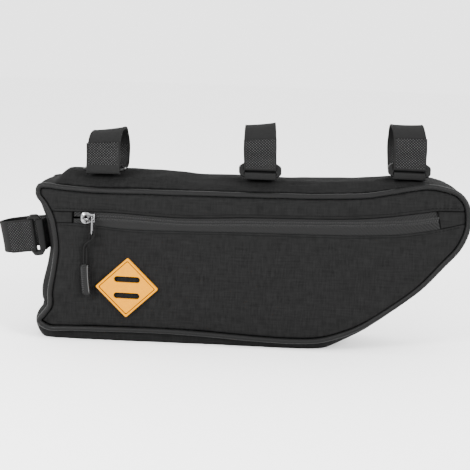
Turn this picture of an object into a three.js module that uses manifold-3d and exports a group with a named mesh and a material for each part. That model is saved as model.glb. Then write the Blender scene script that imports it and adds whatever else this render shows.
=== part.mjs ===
import * as THREE from 'three';
import Module from 'manifold-3d';

const wasm = await Module();
wasm.setup();

// Named sizes in millimetres. X runs along the bag, Y from the front panel to the back, Z up.
const panel_length = 342;
const panel_height = 131;
const bag_depth = 60;
const lowest_seam = 7.6;
const cloth = 1.6;
const gap = 0.4;
const piping_radius = 2.2;
const panel_puff = 1.8;
const tape_overlap = 4;
const tape_thick = 1;
const chain_width = 4.6;
const webbing_width = 26.3;
const webbing_thick = 1.7;
const tab_thick = 1.3;
const strap_depth = 43;
const ring_length = 33.6;
const ring_height = 11.8;
const ring_bar = 2.6;
const ring_end = 3.1;
const ring_thick = 2.6;
const ring_lift = 1;
const slider_length = 12.4;
const slider_height = 10.4;
const slider_thick = 3;
const crown_height = 3.9;
const crown_width = 2.4;
const wire_thick = 1.2;
const pull_drop = 12.4;
const cord_thick = 1.8;
const grip_length = 25.6;
const grip_width = 7.6;
const grip_thick = 5;
const lash_width = 51.6;
const lash_height = 49.8;
const lash_thick = 2.6;
const lash_rim = 0.7;
const slot_length = 20.4;
const slot_height = 4.4;
const slot_apart = 13.4;

const outer_face = bag_depth / 2 + 0.8;

// Seam outline of the front panel, clockwise as seen from the front.
// u is a share of panel_length from the middle, v a share of panel_height above lowest_seam.
// bulge is how far the gusset stands out at mid depth and back how far the back seam lies
// outside the front one, both as shares of bag_depth.
const outline = [
  { u: -0.497, v: 0.905, bulge: 0.02, back: 0.00 },
  { u: -0.473, v: 0.912, bulge: 0.00, back: 0.01 },
  { u: -0.449, v: 0.905, bulge: 0.16, back: 0.05 },
  { u: -0.379, v: 0.894, bulge: 0.165, back: 0.09 },
  { u: -0.262, v: 0.897, bulge: 0.18, back: 0.09 },
  { u: -0.117, v: 0.901, bulge: 0.14, back: 0.08 },
  { u: 0.029, v: 0.905, bulge: 0.135, back: 0.08 },
  { u: 0.175, v: 0.915, bulge: 0.12, back: 0.07 },
  { u: 0.263, v: 0.930, bulge: 0.13, back: 0.06 },
  { u: 0.318, v: 0.957, bulge: 0.115, back: 0.04 },
  { u: 0.363, v: 0.982, bulge: 0.08, back: 0.02 },
  { u: 0.409, v: 0.999, bulge: 0.035, back: 0.00 },
  { u: 0.443, v: 0.988, bulge: 0.02, back: 0.00 },
  { u: 0.474, v: 0.962, bulge: 0.02, back: 0.00 },
  { u: 0.495, v: 0.903, bulge: 0.02, back: 0.00 },
  { u: 0.503, v: 0.802, bulge: 0.03, back: 0.00 },
  { u: 0.4995, v: 0.721, bulge: 0.04, back: 0.00 },
  { u: 0.484, v: 0.627, bulge: 0.06, back: 0.00 },
  { u: 0.451, v: 0.522, bulge: 0.07, back: 0.00 },
  { u: 0.401, v: 0.373, bulge: 0.08, back: 0.00 },
  { u: 0.346, v: 0.252, bulge: 0.09, back: 0.00 },
  { u: 0.273, v: 0.117, bulge: 0.12, back: 0.00 },
  { u: 0.222, v: 0.053, bulge: 0.13, back: 0.00 },
  { u: 0.175, v: 0.015, bulge: 0.19, back: 0.00 },
  { u: 0.102, v: 0.001, bulge: 0.22, back: 0.00 },
  { u: 0.000, v: 0.008, bulge: 0.24, back: 0.00 },
  { u: -0.117, v: 0.024, bulge: 0.30, back: 0.00 },
  { u: -0.278, v: 0.028, bulge: 0.38, back: 0.00 },
  { u: -0.4225, v: 0.021, bulge: 0.34, back: 0.00 },
  { u: -0.4754, v: 0.021, bulge: 0.24, back: 0.00 },
  { u: -0.4965, v: 0.061, bulge: 0.09, back: 0.00 },
  { u: -0.485, v: 0.107, bulge: 0.075, back: 0.03 },
  { u: -0.4716, v: 0.160, bulge: 0.155, back: 0.05 },
  { u: -0.471, v: 0.252, bulge: 0.14, back: 0.05 },
  { u: -0.4626, v: 0.392, bulge: 0.105, back: 0.06 },
  { u: -0.4567, v: 0.518, bulge: 0.12, back: 0.06 },
  { u: -0.4605, v: 0.618, bulge: 0.135, back: 0.06 },
  { u: -0.469, v: 0.718, bulge: 0.14, back: 0.05 },
  { u: -0.484, v: 0.796, bulge: 0.12, back: 0.03 },
  { u: -0.500, v: 0.855, bulge: 0.06, back: 0.00 },
];

// Edges of the zip opening: top and bottom are the cloth edges, coil the middle of the teeth,
// as shares of panel_height above lowest_seam at u along the panel.
const zip_line = [
  { u: -0.480, top: 0.762, coil: 0.722, bottom: 0.676 },
  { u: -0.413, top: 0.767, coil: 0.724, bottom: 0.684 },
  { u: -0.354, top: 0.770, coil: 0.726, bottom: 0.668 },
  { u: -0.307, top: 0.769, coil: 0.727, bottom: 0.660 },
  { u: -0.260, top: 0.764, coil: 0.724, bottom: 0.657 },
  { u: -0.166, top: 0.756, coil: 0.715, bottom: 0.660 },
  { u: -0.003, top: 0.775, coil: 0.731, bottom: 0.669 },
  { u: 0.113, top: 0.782, coil: 0.741, bottom: 0.673 },
  { u: 0.252, top: 0.796, coil: 0.755, bottom: 0.680 },
  { u: 0.344, top: 0.825, coil: 0.771, bottom: 0.696 },
  { u: 0.389, top: 0.845, coil: 0.785, bottom: 0.714 },
  { u: 0.430, top: 0.862, coil: 0.803, bottom: 0.735 },
  { u: 0.500, top: 0.866, coil: 0.815, bottom: 0.782 },
];

const group = new THREE.Group();

function material(colour, roughness, metalness) {
  return () => new THREE.MeshStandardMaterial({ color: colour, roughness, metalness });
}

const packcloth = material(0x1b1b1d, 0.85, 0);
const piping_cloth = material(0x202023, 0.8, 0);
const webbing = material(0x1e1e20, 0.9, 0);
const black_plastic = material(0x121213, 0.45, 0);
const zip_tape = material(0x242427, 0.85, 0);
const zip_coil = material(0x17171a, 0.5, 0);
const steel = material(0xb8babd, 0.3, 1);
const cord = material(0x141415, 0.8, 0);
const rubber = material(0x151517, 0.5, 0);
const tan = material(0xc9a648, 0.6, 0);

function addPart(name, geometry, make) {
  const mesh = new THREE.Mesh(geometry, make());
  mesh.name = name;
  group.add(mesh);
}

function solid(points, faces) {
  const geometry = new THREE.BufferGeometry();
  geometry.setAttribute('position', new THREE.Float32BufferAttribute(points.flat(), 3));
  geometry.setIndex(faces.flat());
  geometry.computeVertexNormals();
  return geometry;
}

// Skin over a row of closed sections: closed into a ring, or capped at both ends.
function skin(sections, closed) {
  const n = sections.length;
  const m = sections[0].length;
  const points = sections.flat();
  const faces = [];
  const last = closed ? n : n - 1;
  for (let i = 0; i < last; i += 1) {
    const a = i * m;
    const b = ((i + 1) % n) * m;
    for (let j = 0; j < m; j += 1) {
      const k = (j + 1) % m;
      faces.push([a + j, b + j, b + k], [a + j, b + k, a + k]);
    }
  }
  if (!closed) {
    for (let j = 1; j < m - 1; j += 1) {
      faces.push([0, j, j + 1]);
      const e = (n - 1) * m;
      faces.push([e, e + j + 1, e + j]);
    }
  }
  return outward(solid(points, faces));
}

function volumeOf(geometry) {
  const p = geometry.attributes.position;
  const index = geometry.index.array;
  const a = new THREE.Vector3();
  const b = new THREE.Vector3();
  const c = new THREE.Vector3();
  let sum = 0;
  for (let i = 0; i < index.length; i += 3) {
    a.fromBufferAttribute(p, index[i]);
    b.fromBufferAttribute(p, index[i + 1]);
    c.fromBufferAttribute(p, index[i + 2]);
    sum += a.dot(b.cross(c)) / 6;
  }
  return sum;
}

function outward(geometry) {
  if (volumeOf(geometry) < 0) {
    const index = geometry.index.array;
    for (let i = 0; i < index.length; i += 3) {
      const held = index[i];
      index[i] = index[i + 1];
      index[i + 1] = held;
    }
    geometry.computeVertexNormals();
  }
  return geometry;
}

function toManifold(geometry) {
  const source = geometry.index ? geometry.toNonIndexed() : geometry;
  const p = source.attributes.position.array;
  const seen = new Map();
  const vertProperties = [];
  const triVerts = [];
  for (let i = 0; i < p.length; i += 3) {
    const spot = [p[i], p[i + 1], p[i + 2]].map((q) => Math.round(q * 1e3)).join(' ');
    if (!seen.has(spot)) {
      seen.set(spot, vertProperties.length / 3);
      vertProperties.push(p[i], p[i + 1], p[i + 2]);
    }
    triVerts.push(seen.get(spot));
  }
  const kept = [];
  for (let i = 0; i < triVerts.length; i += 3) {
    const [a, b, c] = triVerts.slice(i, i + 3);
    if (a !== b && b !== c && c !== a) {
      kept.push(a, b, c);
    }
  }
  const mesh = new wasm.Mesh({
    numProp: 3,
    vertProperties: new Float32Array(vertProperties),
    triVerts: new Uint32Array(kept),
  });
  return new wasm.Manifold(mesh);
}

function fromManifold(body) {
  const mesh = body.getMesh();
  const points = [];
  for (let i = 0; i < mesh.vertProperties.length; i += mesh.numProp) {
    points.push([mesh.vertProperties[i], mesh.vertProperties[i + 1], mesh.vertProperties[i + 2]]);
  }
  return solid(points, Array.from(mesh.triVerts));
}

// Outline stations, two to each row of the table, with the outward direction at each.
const stations = [];
{
  const knots = outline.map((row) => new THREE.Vector3(
    row.u * panel_length,
    0,
    lowest_seam + row.v * panel_height,
  ));
  const curve = new THREE.CatmullRomCurve3(knots, true, 'centripetal');
  const count = outline.length * 2;
  for (let i = 0; i < count; i += 1) {
    const row = outline[Math.floor(i / 2)];
    const next = outline[Math.floor((i + 1) / 2) % outline.length];
    const p = curve.getPoint(i / count);
    stations.push({
      x: p.x,
      z: p.z,
      bulge: bag_depth * (row.bulge + next.bulge) / 2,
      back: bag_depth * (row.back + next.back) / 2,
    });
  }
  for (let i = 0; i < count; i += 1) {
    const before = stations[(i + count - 1) % count];
    const after = stations[(i + 1) % count];
    const dx = after.x - before.x;
    const dz = after.z - before.z;
    const size = Math.hypot(dx, dz);
    stations[i].nx = -dz / size;
    stations[i].nz = dx / size;
  }
}

function seam(share, offset) {
  return stations.map((s) => {
    const out = offset + s.back * share;
    return { x: s.x + s.nx * out, z: Math.max(s.z + s.nz * out, piping_radius + 0.4) };
  });
}

// Cross section of the gusset: bulging between the seams, flat where it rests on the floor.
const rows_across = [-1, -0.8, -0.52, -0.18, 0.18, 0.52, 0.8, 1];

function gussetPoint(s, across, offset) {
  const fullness = 2.6 + 1.6 * Math.max(-s.nz, 0);
  const reach = s.back * (across + 1) / 2 + s.bulge * (1 - Math.abs(across) ** fullness) + offset;
  const half = bag_depth / 2 - piping_radius - gap;
  return [s.x + s.nx * reach, across * half, s.z + s.nz * reach];
}

const gusset_sections = stations.map((s) => {
  const outer = rows_across.map((across) => {
    const p = gussetPoint(s, across, cloth / 2);
    return [p[0], p[1], Math.max(p[2], 0)];
  });
  const inner = rows_across.map((across) => {
    const p = gussetPoint(s, across, -cloth / 2);
    return [p[0], p[1], Math.max(p[2], cloth)];
  });
  return outer.concat(inner.reverse());
});
addPart('gusset', skin(gusset_sections, true), packcloth);

// Round piping along both seams.
function ringAlong(points, y, radius, sides) {
  const n = points.length;
  const sections = points.map((p, i) => {
    const before = points[(i + n - 1) % n];
    const after = points[(i + 1) % n];
    const size = Math.hypot(after.x - before.x, after.z - before.z);
    const nx = -(after.z - before.z) / size;
    const nz = (after.x - before.x) / size;
    const section = [];
    for (let j = 0; j < sides; j += 1) {
      const angle = (j + 0.5) * Math.PI * 2 / sides;
      const out = radius * Math.cos(angle);
      section.push([p.x + nx * out, y + radius * Math.sin(angle), p.z + nz * out]);
    }
    return section;
  });
  return skin(sections, true);
}
addPart('front_piping', ringAlong(seam(0, 0), -bag_depth / 2, piping_radius, 6), piping_cloth);
addPart('back_piping', ringAlong(seam(1, 0), bag_depth / 2, piping_radius, 6), piping_cloth);

// Relief of a panel: a soft puff over the whole and a dent across the lower left corner.
function relief(x, z) {
  const across = Math.min(Math.abs(x) / (panel_length / 2), 1);
  const up = Math.min(Math.abs(z - lowest_seam - panel_height / 2) / (panel_height / 2), 1);
  const puff = panel_puff * (1 - across ** 4) * (1 - up ** 4);
  const dent = Math.hypot((x + panel_length * 0.44) / 14, (z - lowest_seam - panel_height * 0.16) / 10);
  return puff - 1.2 * Math.exp(-dent * dent);
}

function frontFace(x, z) {
  return -outer_face - relief(x, z);
}

function backFace(x, z) {
  return outer_face + relief(x, z);
}

// Sheet of cloth over a rectangle, its near face given by face(x, z).
function sheet(columns, rows, box, face, thick) {
  const sections = [];
  for (let i = 0; i <= columns; i += 1) {
    const x = box.x0 + (box.x1 - box.x0) * i / columns;
    const near = [];
    const far = [];
    for (let j = 0; j <= rows; j += 1) {
      const z = box.z0 + (box.z1 - box.z0) * j / rows;
      const y = face(x, z);
      near.push([x, y, z]);
      far.push([x, y + thick, z]);
    }
    sections.push({ near, far });
  }
  const points = sections.flatMap((s) => s.near.concat(s.far));
  const m = (rows + 1) * 2;
  const faces = [];
  const quad = (a, b, c, d) => faces.push([a, b, c], [a, c, d]);
  for (let i = 0; i < columns; i += 1) {
    const a = i * m;
    const b = a + m;
    for (let j = 0; j < rows; j += 1) {
      quad(a + j, b + j, b + j + 1, a + j + 1);
      const f = rows + 1 + j;
      quad(a + f, a + f + 1, b + f + 1, b + f);
    }
    quad(a, a + rows + 1, b + rows + 1, b);
    quad(a + rows, b + rows, b + 2 * rows + 1, a + 2 * rows + 1);
  }
  for (let j = 0; j < rows; j += 1) {
    quad(j, j + 1, rows + 2 + j, rows + 1 + j);
    const e = columns * m;
    quad(e + j, e + rows + 1 + j, e + rows + 2 + j, e + j + 1);
  }
  return outward(solid(points, faces));
}

function prism(points, y0, y1) {
  const shape = new THREE.Shape(points.map((p) => new THREE.Vector2(p.x, p.z)));
  const geometry = new THREE.ExtrudeGeometry(shape, { depth: y1 - y0, bevelEnabled: false });
  geometry.rotateX(Math.PI / 2);
  geometry.translate(0, y1, 0);
  return geometry;
}

function zipAt(column, offset) {
  return zip_line.map((row) => ({
    x: row.u * panel_length,
    z: lowest_seam + row[column] * panel_height + offset,
  }));
}

function between(table, x) {
  let i = 0;
  while (i < table.length - 2 && table[i + 1].x < x) {
    i += 1;
  }
  const share = (x - table[i].x) / (table[i + 1].x - table[i].x);
  return table[i].z + share * (table[i + 1].z - table[i].z);
}

const panel_box = {
  x0: -panel_length * 0.53,
  x1: panel_length * 0.53,
  z0: lowest_seam - panel_height * 0.06,
  z1: lowest_seam + panel_height * 1.09,
};
const panel_inset = piping_radius + gap;

function trimmedPanel(face, outlinePoints, zone) {
  let body = toManifold(sheet(14, 7, panel_box, face, cloth));
  body = body.intersect(toManifold(prism(outlinePoints, -bag_depth, bag_depth)));
  if (zone) {
    body = body.intersect(toManifold(prism(zone, -bag_depth - 5, bag_depth + 5)));
  }
  return fromManifold(body);
}

const left_end = { x: -panel_length * 0.6, z: 0 };
const right_end = { x: panel_length * 0.6, z: 0 };

function zoneAbove(line, z) {
  const first = { x: left_end.x, z: line[0].z };
  const last = { x: right_end.x, z: line[line.length - 1].z };
  return [first, ...line, last, { x: right_end.x, z }, { x: left_end.x, z }];
}

const front_inset = seam(0, -panel_inset);
const back_inset = seam(1, -panel_inset);
const over = lowest_seam + panel_height * 1.3;
const under = -panel_height * 0.3;
const upper_zone = zoneAbove(zipAt('top', 0), over);
const lower_zone = zoneAbove(zipAt('bottom', 0), under);
addPart('front_panel_upper', trimmedPanel(frontFace, front_inset, upper_zone), packcloth);
addPart('front_panel_lower', trimmedPanel(frontFace, front_inset, lower_zone), packcloth);
addPart('back_panel', trimmedPanel((x, z) => backFace(x, z) - cloth, back_inset, null), packcloth);

// Flat strip along the panel between two lines, its near face a step behind the panel face.
function strip(x0, x1, count, lower, upper, step, thick) {
  const sections = [];
  for (let i = 0; i <= count; i += 1) {
    const x = x0 + (x1 - x0) * i / count;
    const zl = lower(x);
    const zu = upper(x);
    const yl = frontFace(x, zl) + step;
    const yu = frontFace(x, zu) + step;
    sections.push([[x, yl, zl], [x, yu, zu], [x, yu + thick, zu], [x, yl + thick, zl]]);
  }
  return skin(sections, false);
}

const top_line = zipAt('top', 0);
const coil_line = zipAt('coil', 0);
const bottom_line = zipAt('bottom', 0);
const tab_left_end = -panel_length * 0.415;
const tab_right_start = panel_length * 0.433;
const slider_x = -panel_length * 0.3826;
addPart('zipper_tape', strip(
  -panel_length * 0.443,
  panel_length * 0.478,
  18,
  (x) => between(bottom_line, x) - tape_overlap,
  (x) => between(top_line, x) + tape_overlap,
  cloth + gap,
  tape_thick,
), zip_tape);
addPart('zipper_chain', strip(
  slider_x + slider_length / 2 + gap,
  tab_right_start - gap,
  20,
  (x) => between(coil_line, x) - chain_width / 2,
  (x) => between(coil_line, x) + chain_width / 2,
  0.3,
  cloth - 0.3,
), zip_coil);
addPart('zip_end_tab_left', strip(
  -panel_length * 0.457,
  tab_left_end,
  2,
  (x) => between(bottom_line, x) + gap,
  (x) => between(top_line, x) - gap,
  -0.3,
  cloth + 0.3,
), packcloth);
addPart('zip_end_tab_right', strip(
  tab_right_start,
  panel_length * 0.485,
  3,
  (x) => between(bottom_line, x) + gap,
  (x) => between(top_line, x) - gap,
  -0.3,
  cloth + 0.3,
), packcloth);

// Slider: a waisted body with rounded ends and a crown that the wire pull hangs from.
const slider_z = between(coil_line, slider_x);
const slider_face = frontFace(slider_x, slider_z);
{
  const half = slider_length / 2;
  const tall = slider_height / 2;
  const shape = new THREE.Shape();
  shape.moveTo(-half, -tall * 0.55);
  shape.quadraticCurveTo(-half, -tall, -half * 0.6, -tall);
  shape.quadraticCurveTo(half * 0.1, -tall, half * 0.25, -tall * 0.72);
  shape.lineTo(half, -tall * 0.68);
  shape.lineTo(half, tall * 0.68);
  shape.lineTo(half * 0.25, tall * 0.72);
  shape.quadraticCurveTo(half * 0.1, tall, -half * 0.6, tall);
  shape.quadraticCurveTo(-half, tall, -half, tall * 0.55);
  const plate = new THREE.ExtrudeGeometry(shape, {
    depth: slider_thick - 0.8,
    bevelEnabled: true,
    bevelThickness: 0.4,
    bevelSize: 0.4,
    bevelOffset: -0.4,
    bevelSegments: 1,
    curveSegments: 3,
  });
  plate.translate(0, 0, 0.4);
  const crown = new THREE.Shape();
  crown.moveTo(-half * 0.5, -0.5);
  crown.lineTo(half * 0.99, -0.5);
  crown.lineTo(half * 0.99, 0.6);
  crown.lineTo(half * 0.94, crown_height);
  crown.lineTo(-half * 0.2, crown_height);
  crown.lineTo(-half * 0.5, 0);
  const eye = new THREE.Path();
  eye.moveTo(half * 0.12, crown_height * 0.26);
  eye.lineTo(half * 0.78, crown_height * 0.26);
  eye.lineTo(half * 0.74, crown_height * 0.74);
  eye.lineTo(half * 0.16, crown_height * 0.74);
  crown.holes.push(eye);
  const bridge = new THREE.ExtrudeGeometry(crown, { depth: crown_width, bevelEnabled: false });
  bridge.rotateX(Math.PI / 2);
  bridge.translate(0, crown_width / 2, slider_thick);
  const body = fromManifold(toManifold(plate).add(toManifold(bridge)));
  body.rotateX(Math.PI / 2);
  body.translate(slider_x, slider_face + cloth - 0.1, slider_z);
  addPart('zipper_slider', body, steel);
}

// Round bar along an open path.
function tubeAlong(points, radius, sides, steps) {
  const knots = points.map((p) => new THREE.Vector3(...p));
  const extrudePath = new THREE.CatmullRomCurve3(knots, false, 'centripetal');
  const shape = new THREE.Shape();
  for (let j = 0; j < sides; j += 1) {
    const angle = j * Math.PI * 2 / sides;
    const x = radius * Math.cos(angle);
    const y = radius * Math.sin(angle);
    if (j === 0) {
      shape.moveTo(x, y);
    } else {
      shape.lineTo(x, y);
    }
  }
  return new THREE.ExtrudeGeometry(shape, {
    steps,
    extrudePath,
    bevelEnabled: false,
    curveSegments: 1,
  });
}

// Wire pull: a narrow loop round the outer bar of the crown, seen edge on, hanging down.
const pull_x = slider_x + slider_length * 0.305;
const inner_leg = slider_thick - cloth + 0.1 + crown_height / 2;
const loop_half = crown_height * 0.385;
const pull_face = slider_face - inner_leg - loop_half;
const wire_top = slider_z + crown_width / 2 + gap + wire_thick / 2;
const wire_bottom = slider_z - pull_drop;
{
  const count = 20;
  const middle = (wire_top + wire_bottom) / 2;
  const rail = [];
  for (let i = 0; i < count; i += 1) {
    const angle = i * Math.PI * 2 / count;
    const up = Math.sin(angle);
    const half_w = up > 0 ? loop_half : loop_half * (1 - 0.4 * up);
    const straight = (wire_top - wire_bottom) / 2 - half_w;
    rail.push({
      x: half_w * Math.cos(angle),
      z: middle + Math.sign(up) * straight * Math.min(Math.abs(up) * 3, 1) + half_w * up,
    });
  }
  const loop = ringAlong(rail, 0, wire_thick / 2, 6);
  addPart('pull_wire', reorder(loop, (x, y, z) => [pull_x - y, pull_face + x, z]), steel);
}

// Cord: one length doubled through the wire, its two ends held in the grip.
const grip_x = slider_x - slider_length * 0.07;
const grip_top = wire_bottom - pull_drop * 2;
const grip_face = slider_face - grip_thick * 0.72;
{
  const z0 = wire_bottom + wire_thick / 2 + gap + cord_thick / 2;
  const drop = z0 - grip_top;
  const apart = cord_thick / 2 + gap / 2;
  const path = [
    [grip_x - apart, grip_face, grip_top + gap],
    [grip_x - apart, grip_face, grip_top + 0.3 * drop],
    [grip_x - apart, grip_face - 0.3, grip_top + 0.6 * drop],
    [pull_x - 4, pull_face, z0 - 0.24 * drop],
    [pull_x - 2.3, pull_face, z0 - 0.07 * drop],
    [pull_x, pull_face, z0],
    [pull_x + 1.9, pull_face, z0 - 0.07 * drop],
    [pull_x + 1, pull_face, z0 - 0.24 * drop],
    [grip_x + apart + 0.2, grip_face - 0.3, grip_top + 0.6 * drop],
    [grip_x + apart, grip_face, grip_top + 0.3 * drop],
    [grip_x + apart, grip_face, grip_top + gap],
  ];
  addPart('pull_cord', tubeAlong(path, cord_thick / 2, 8, 36), cord);
}

// Moulded grip on the end of the cord.
{
  const half = grip_width / 2;
  const r = 2.2;
  const shape = new THREE.Shape();
  shape.moveTo(-half + r, 0);
  shape.lineTo(half - r, 0);
  shape.quadraticCurveTo(half, 0, half, -r);
  shape.lineTo(half, -grip_length + r);
  shape.quadraticCurveTo(half, -grip_length, half - r, -grip_length);
  shape.lineTo(-half + r, -grip_length);
  shape.quadraticCurveTo(-half, -grip_length, -half, -grip_length + r);
  shape.lineTo(-half, -r);
  shape.quadraticCurveTo(-half, 0, -half + r, 0);
  const geometry = new THREE.ExtrudeGeometry(shape, {
    depth: grip_thick - 2.4,
    bevelEnabled: true,
    bevelThickness: 1.2,
    bevelSize: 1.2,
    bevelOffset: -1.2,
    bevelSegments: 2,
    curveSegments: 3,
  });
  geometry.rotateX(Math.PI / 2);
  geometry.translate(grip_x, grip_face + grip_thick / 2 - 1.2, grip_top);
  addPart('pull_grip', geometry, rubber);
}

// Diamond lash tab: moulded plate with a raised rim and two slots.
{
  const side = lash_width / Math.SQRT2;
  const rounded = (size, r, clockwise) => {
    const h = size / 2;
    const s = clockwise ? new THREE.Path() : new THREE.Shape();
    s.moveTo(-h + r, -h);
    s.lineTo(h - r, -h);
    s.quadraticCurveTo(h, -h, h, -h + r);
    s.lineTo(h, h - r);
    s.quadraticCurveTo(h, h, h - r, h);
    s.lineTo(-h + r, h);
    s.quadraticCurveTo(-h, h, -h, h - r);
    s.lineTo(-h, -h + r);
    s.quadraticCurveTo(-h, -h, -h + r, -h);
    return s;
  };
  const slot = (cx, cy) => {
    const s = new THREE.Shape();
    const l = slot_length / 2;
    const h = slot_height / 2;
    s.moveTo(cx - l + h, cy - h);
    s.lineTo(cx + l - h, cy - h);
    s.absarc(cx + l - h, cy, h, -Math.PI / 2, Math.PI / 2, false);
    s.lineTo(cx - l + h, cy + h);
    s.absarc(cx - l + h, cy, h, Math.PI / 2, Math.PI * 1.5, false);
    return s;
  };
  const block = (shape, z0, z1) => {
    const g = new THREE.ExtrudeGeometry(shape, { depth: z1 - z0, bevelEnabled: false, curveSegments: 4 });
    g.translate(0, 0, z0);
    return g;
  };
  const corner = side * 0.045;
  const plate = block(rounded(side, corner, false), 0, lash_thick - lash_rim);
  const ring = rounded(side, corner, false);
  ring.holes.push(rounded(side * 0.86, corner * 0.6, true));
  const rim = block(ring, lash_thick - lash_rim - 0.2, lash_thick);
  let body = toManifold(plate).add(toManifold(rim));
  body = body.rotate([0, 0, 45]).scale([1, lash_height / lash_width, 1]);
  for (const up of [0.5, -0.5]) {
    body = body.subtract(toManifold(block(slot(0, up * slot_apart), -1, lash_thick + 1)));
  }
  const geometry = fromManifold(body);
  const lean = THREE.MathUtils.degToRad(-0.6);
  geometry.rotateZ(lean);
  geometry.rotateX(Math.PI / 2);
  const x = -panel_length * 0.2865;
  const z = lowest_seam + panel_height * 0.302;
  geometry.translate(x, -outer_face - panel_puff - gap, z);
  addPart('lash_tab', geometry, tan);
}

// Strap loops. at is the place along the top as a share of panel_length, or for the seat strap
// the height as a share of panel_height. tall is the loop's height as a share of its depth,
// twist turns the loop about its own height and top_slope is the rise over run of its far
// fold. ring_side is -1 with the ring at the front. ring_at is how far out the ring's lower
// bar is held, as a share of strap_depth, and ring_lean how far the ring lies over, in degrees.
const strap_rows = [
  {
    name: 'strap_left', at: -0.347, tall: 0.76, lean: -2.2, twist: 4, top_slope: 0.11,
    ring_side: -1, ring_at: 0.25, ring_lean: 94,
  },
  {
    name: 'strap_middle', at: 0.0165, tall: 1.01, lean: -2.2, twist: 0, top_slope: 0.08,
    ring_side: -1, ring_at: 0.395, ring_lean: 0,
  },
  {
    name: 'strap_right', at: 0.364, tall: 0.99, lean: -2.2, twist: -1, top_slope: -0.02,
    ring_side: -1, ring_at: 0.395, ring_lean: 0,
  },
  {
    name: 'strap_seat', at: 0.585, tall: 0.92, lean: -97.2, twist: -3, top_slope: 0.08,
    ring_side: -1, ring_at: 0.395, ring_lean: 0,
  },
];

// Where a ring's bars are, as [distance out, height]: the lower one in the ring tab, the upper
// one in the strap.
function ringBars(row) {
  const lean = THREE.MathUtils.degToRad(row.ring_lean);
  const lower = { out: row.ring_at * strap_depth, height: ring_lift + ring_bar / 2 };
  const reach = ring_height - ring_bar;
  const upper = {
    out: lower.out + reach * Math.sin(lean),
    height: lower.height + reach * Math.cos(lean),
  };
  return { lower, upper, lean };
}

// Side view of a strap: [depth, height] points from the sewn foot over the top, down to the
// ring, round its upper bar and back up the outside.
function strapPath(row) {
  const half = webbing_thick / 2;
  const side = ring_thick / 2 + gap + half;
  const below = ring_bar / 2 + gap + half;
  const foot = gap + half;
  const { out, height: bar } = ringBars(row).upper;
  const turn = (gap + half) * 0.72;
  const step = webbing_thick + gap + 0.1;
  const D = strap_depth;
  const tall = row.tall * D;
  const rise = tall - bar;
  return [
    [0.05 * D, foot],
    [0.18 * D, foot],
    [0.33 * D, foot + 0.05 * tall],
    [0.45 * D, 0.27 * tall],
    [0.48 * D, 0.5 * tall],
    [0.43 * D, 0.74 * tall],
    [0.27 * D, 0.92 * tall],
    [0.02 * D, tall - half],
    [-0.24 * D, bar + 0.87 * rise],
    [-0.4 * D, bar + 0.64 * rise],
    [-0.425 * D, bar + 0.4 * rise],
    [-out + side * 0.25, bar + 4.6],
    [-out + side, bar + 1],
    [-out + side, bar - ring_bar * 0.45],
    [-out + ring_thick / 2 + turn, bar - ring_bar / 2 - turn],
    [-out + ring_thick * 0.45, bar - below],
    [-out - ring_thick * 0.45, bar - below],
    [-out - ring_thick / 2 - turn, bar - ring_bar / 2 - turn],
    [-out - side, bar - ring_bar * 0.45],
    [-out - side, bar + 1],
    [-out + side * 0.1 - step, bar + 4.8],
    [-0.425 * D - step, bar + 0.4 * rise],
    [-0.415 * D - step, bar + 0.58 * rise],
  ];
}

// Side view of the ring tab: from its sewn foot round the lower bar and back.
function tabPath(row) {
  const half = tab_thick / 2;
  const side = ring_thick / 2 + gap + half;
  const below = ring_bar / 2 + gap + half;
  const turn = (gap + half) * 0.72;
  const low = gap + half;
  const step = tab_thick + gap;
  const { out, height: bar } = ringBars(row).lower;
  const dip = 0.002 * out * out;
  return [
    [-0.08 * out, low],
    [-0.4 * out, low],
    [-0.7 * out, low - dip],
    [-out + ring_thick * 0.45, bar - below],
    [-out - ring_thick * 0.45, bar - below],
    [-out - ring_thick / 2 - turn, bar - ring_bar / 2 - turn],
    [-out - side, bar],
    [-out - ring_thick / 2 - turn, bar + ring_bar / 2 + turn],
    [-out - ring_thick * 0.45, bar + below],
    [-out + ring_thick * 0.45, bar + below],
    [-out + side * 1.15, bar + below * 0.7],
    [-out + side * 1.6, bar + 0.5],
    [-0.56 * out, low - dip * 0.5 + step],
    [-0.4 * out, low + step],
    [-0.08 * out, low + step],
  ];
}

// Ribbon of webbing: a side view path thickened and drawn out to the webbing's width.
function ribbon(path, thick, width, fold) {
  const knots = path.map((p) => new THREE.Vector3(p[0], p[1], 0));
  const curve = new THREE.CatmullRomCurve3(knots, false, 'centripetal');
  const count = Math.round((path.length - 1) * fold);
  const rail = curve.getPoints(count);
  const left = [];
  const right = [];
  for (let i = 0; i <= count; i += 1) {
    const before = rail[Math.max(i - 1, 0)];
    const after = rail[Math.min(i + 1, count)];
    const dx = after.x - before.x;
    const dz = after.y - before.y;
    const size = Math.hypot(dx, dz);
    const ox = -dz / size * thick / 2;
    const oz = dx / size * thick / 2;
    left.push([rail[i].x + ox, rail[i].y + oz]);
    right.push([rail[i].x - ox, rail[i].y - oz]);
  }
  const loop = left.concat(right.reverse());
  const shape = new THREE.Shape(loop.map((p) => new THREE.Vector2(p[0], p[1])));
  const geometry = new THREE.ExtrudeGeometry(shape, { depth: width, bevelEnabled: false });
  geometry.translate(0, 0, -width / 2);
  return reorder(geometry, (x, y, z) => [z, x, y]);
}

function reorder(geometry, turn) {
  const p = geometry.attributes.position;
  for (let i = 0; i < p.count; i += 1) {
    p.setXYZ(i, ...turn(p.getX(i), p.getY(i), p.getZ(i)));
  }
  return geometry;
}

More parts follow.
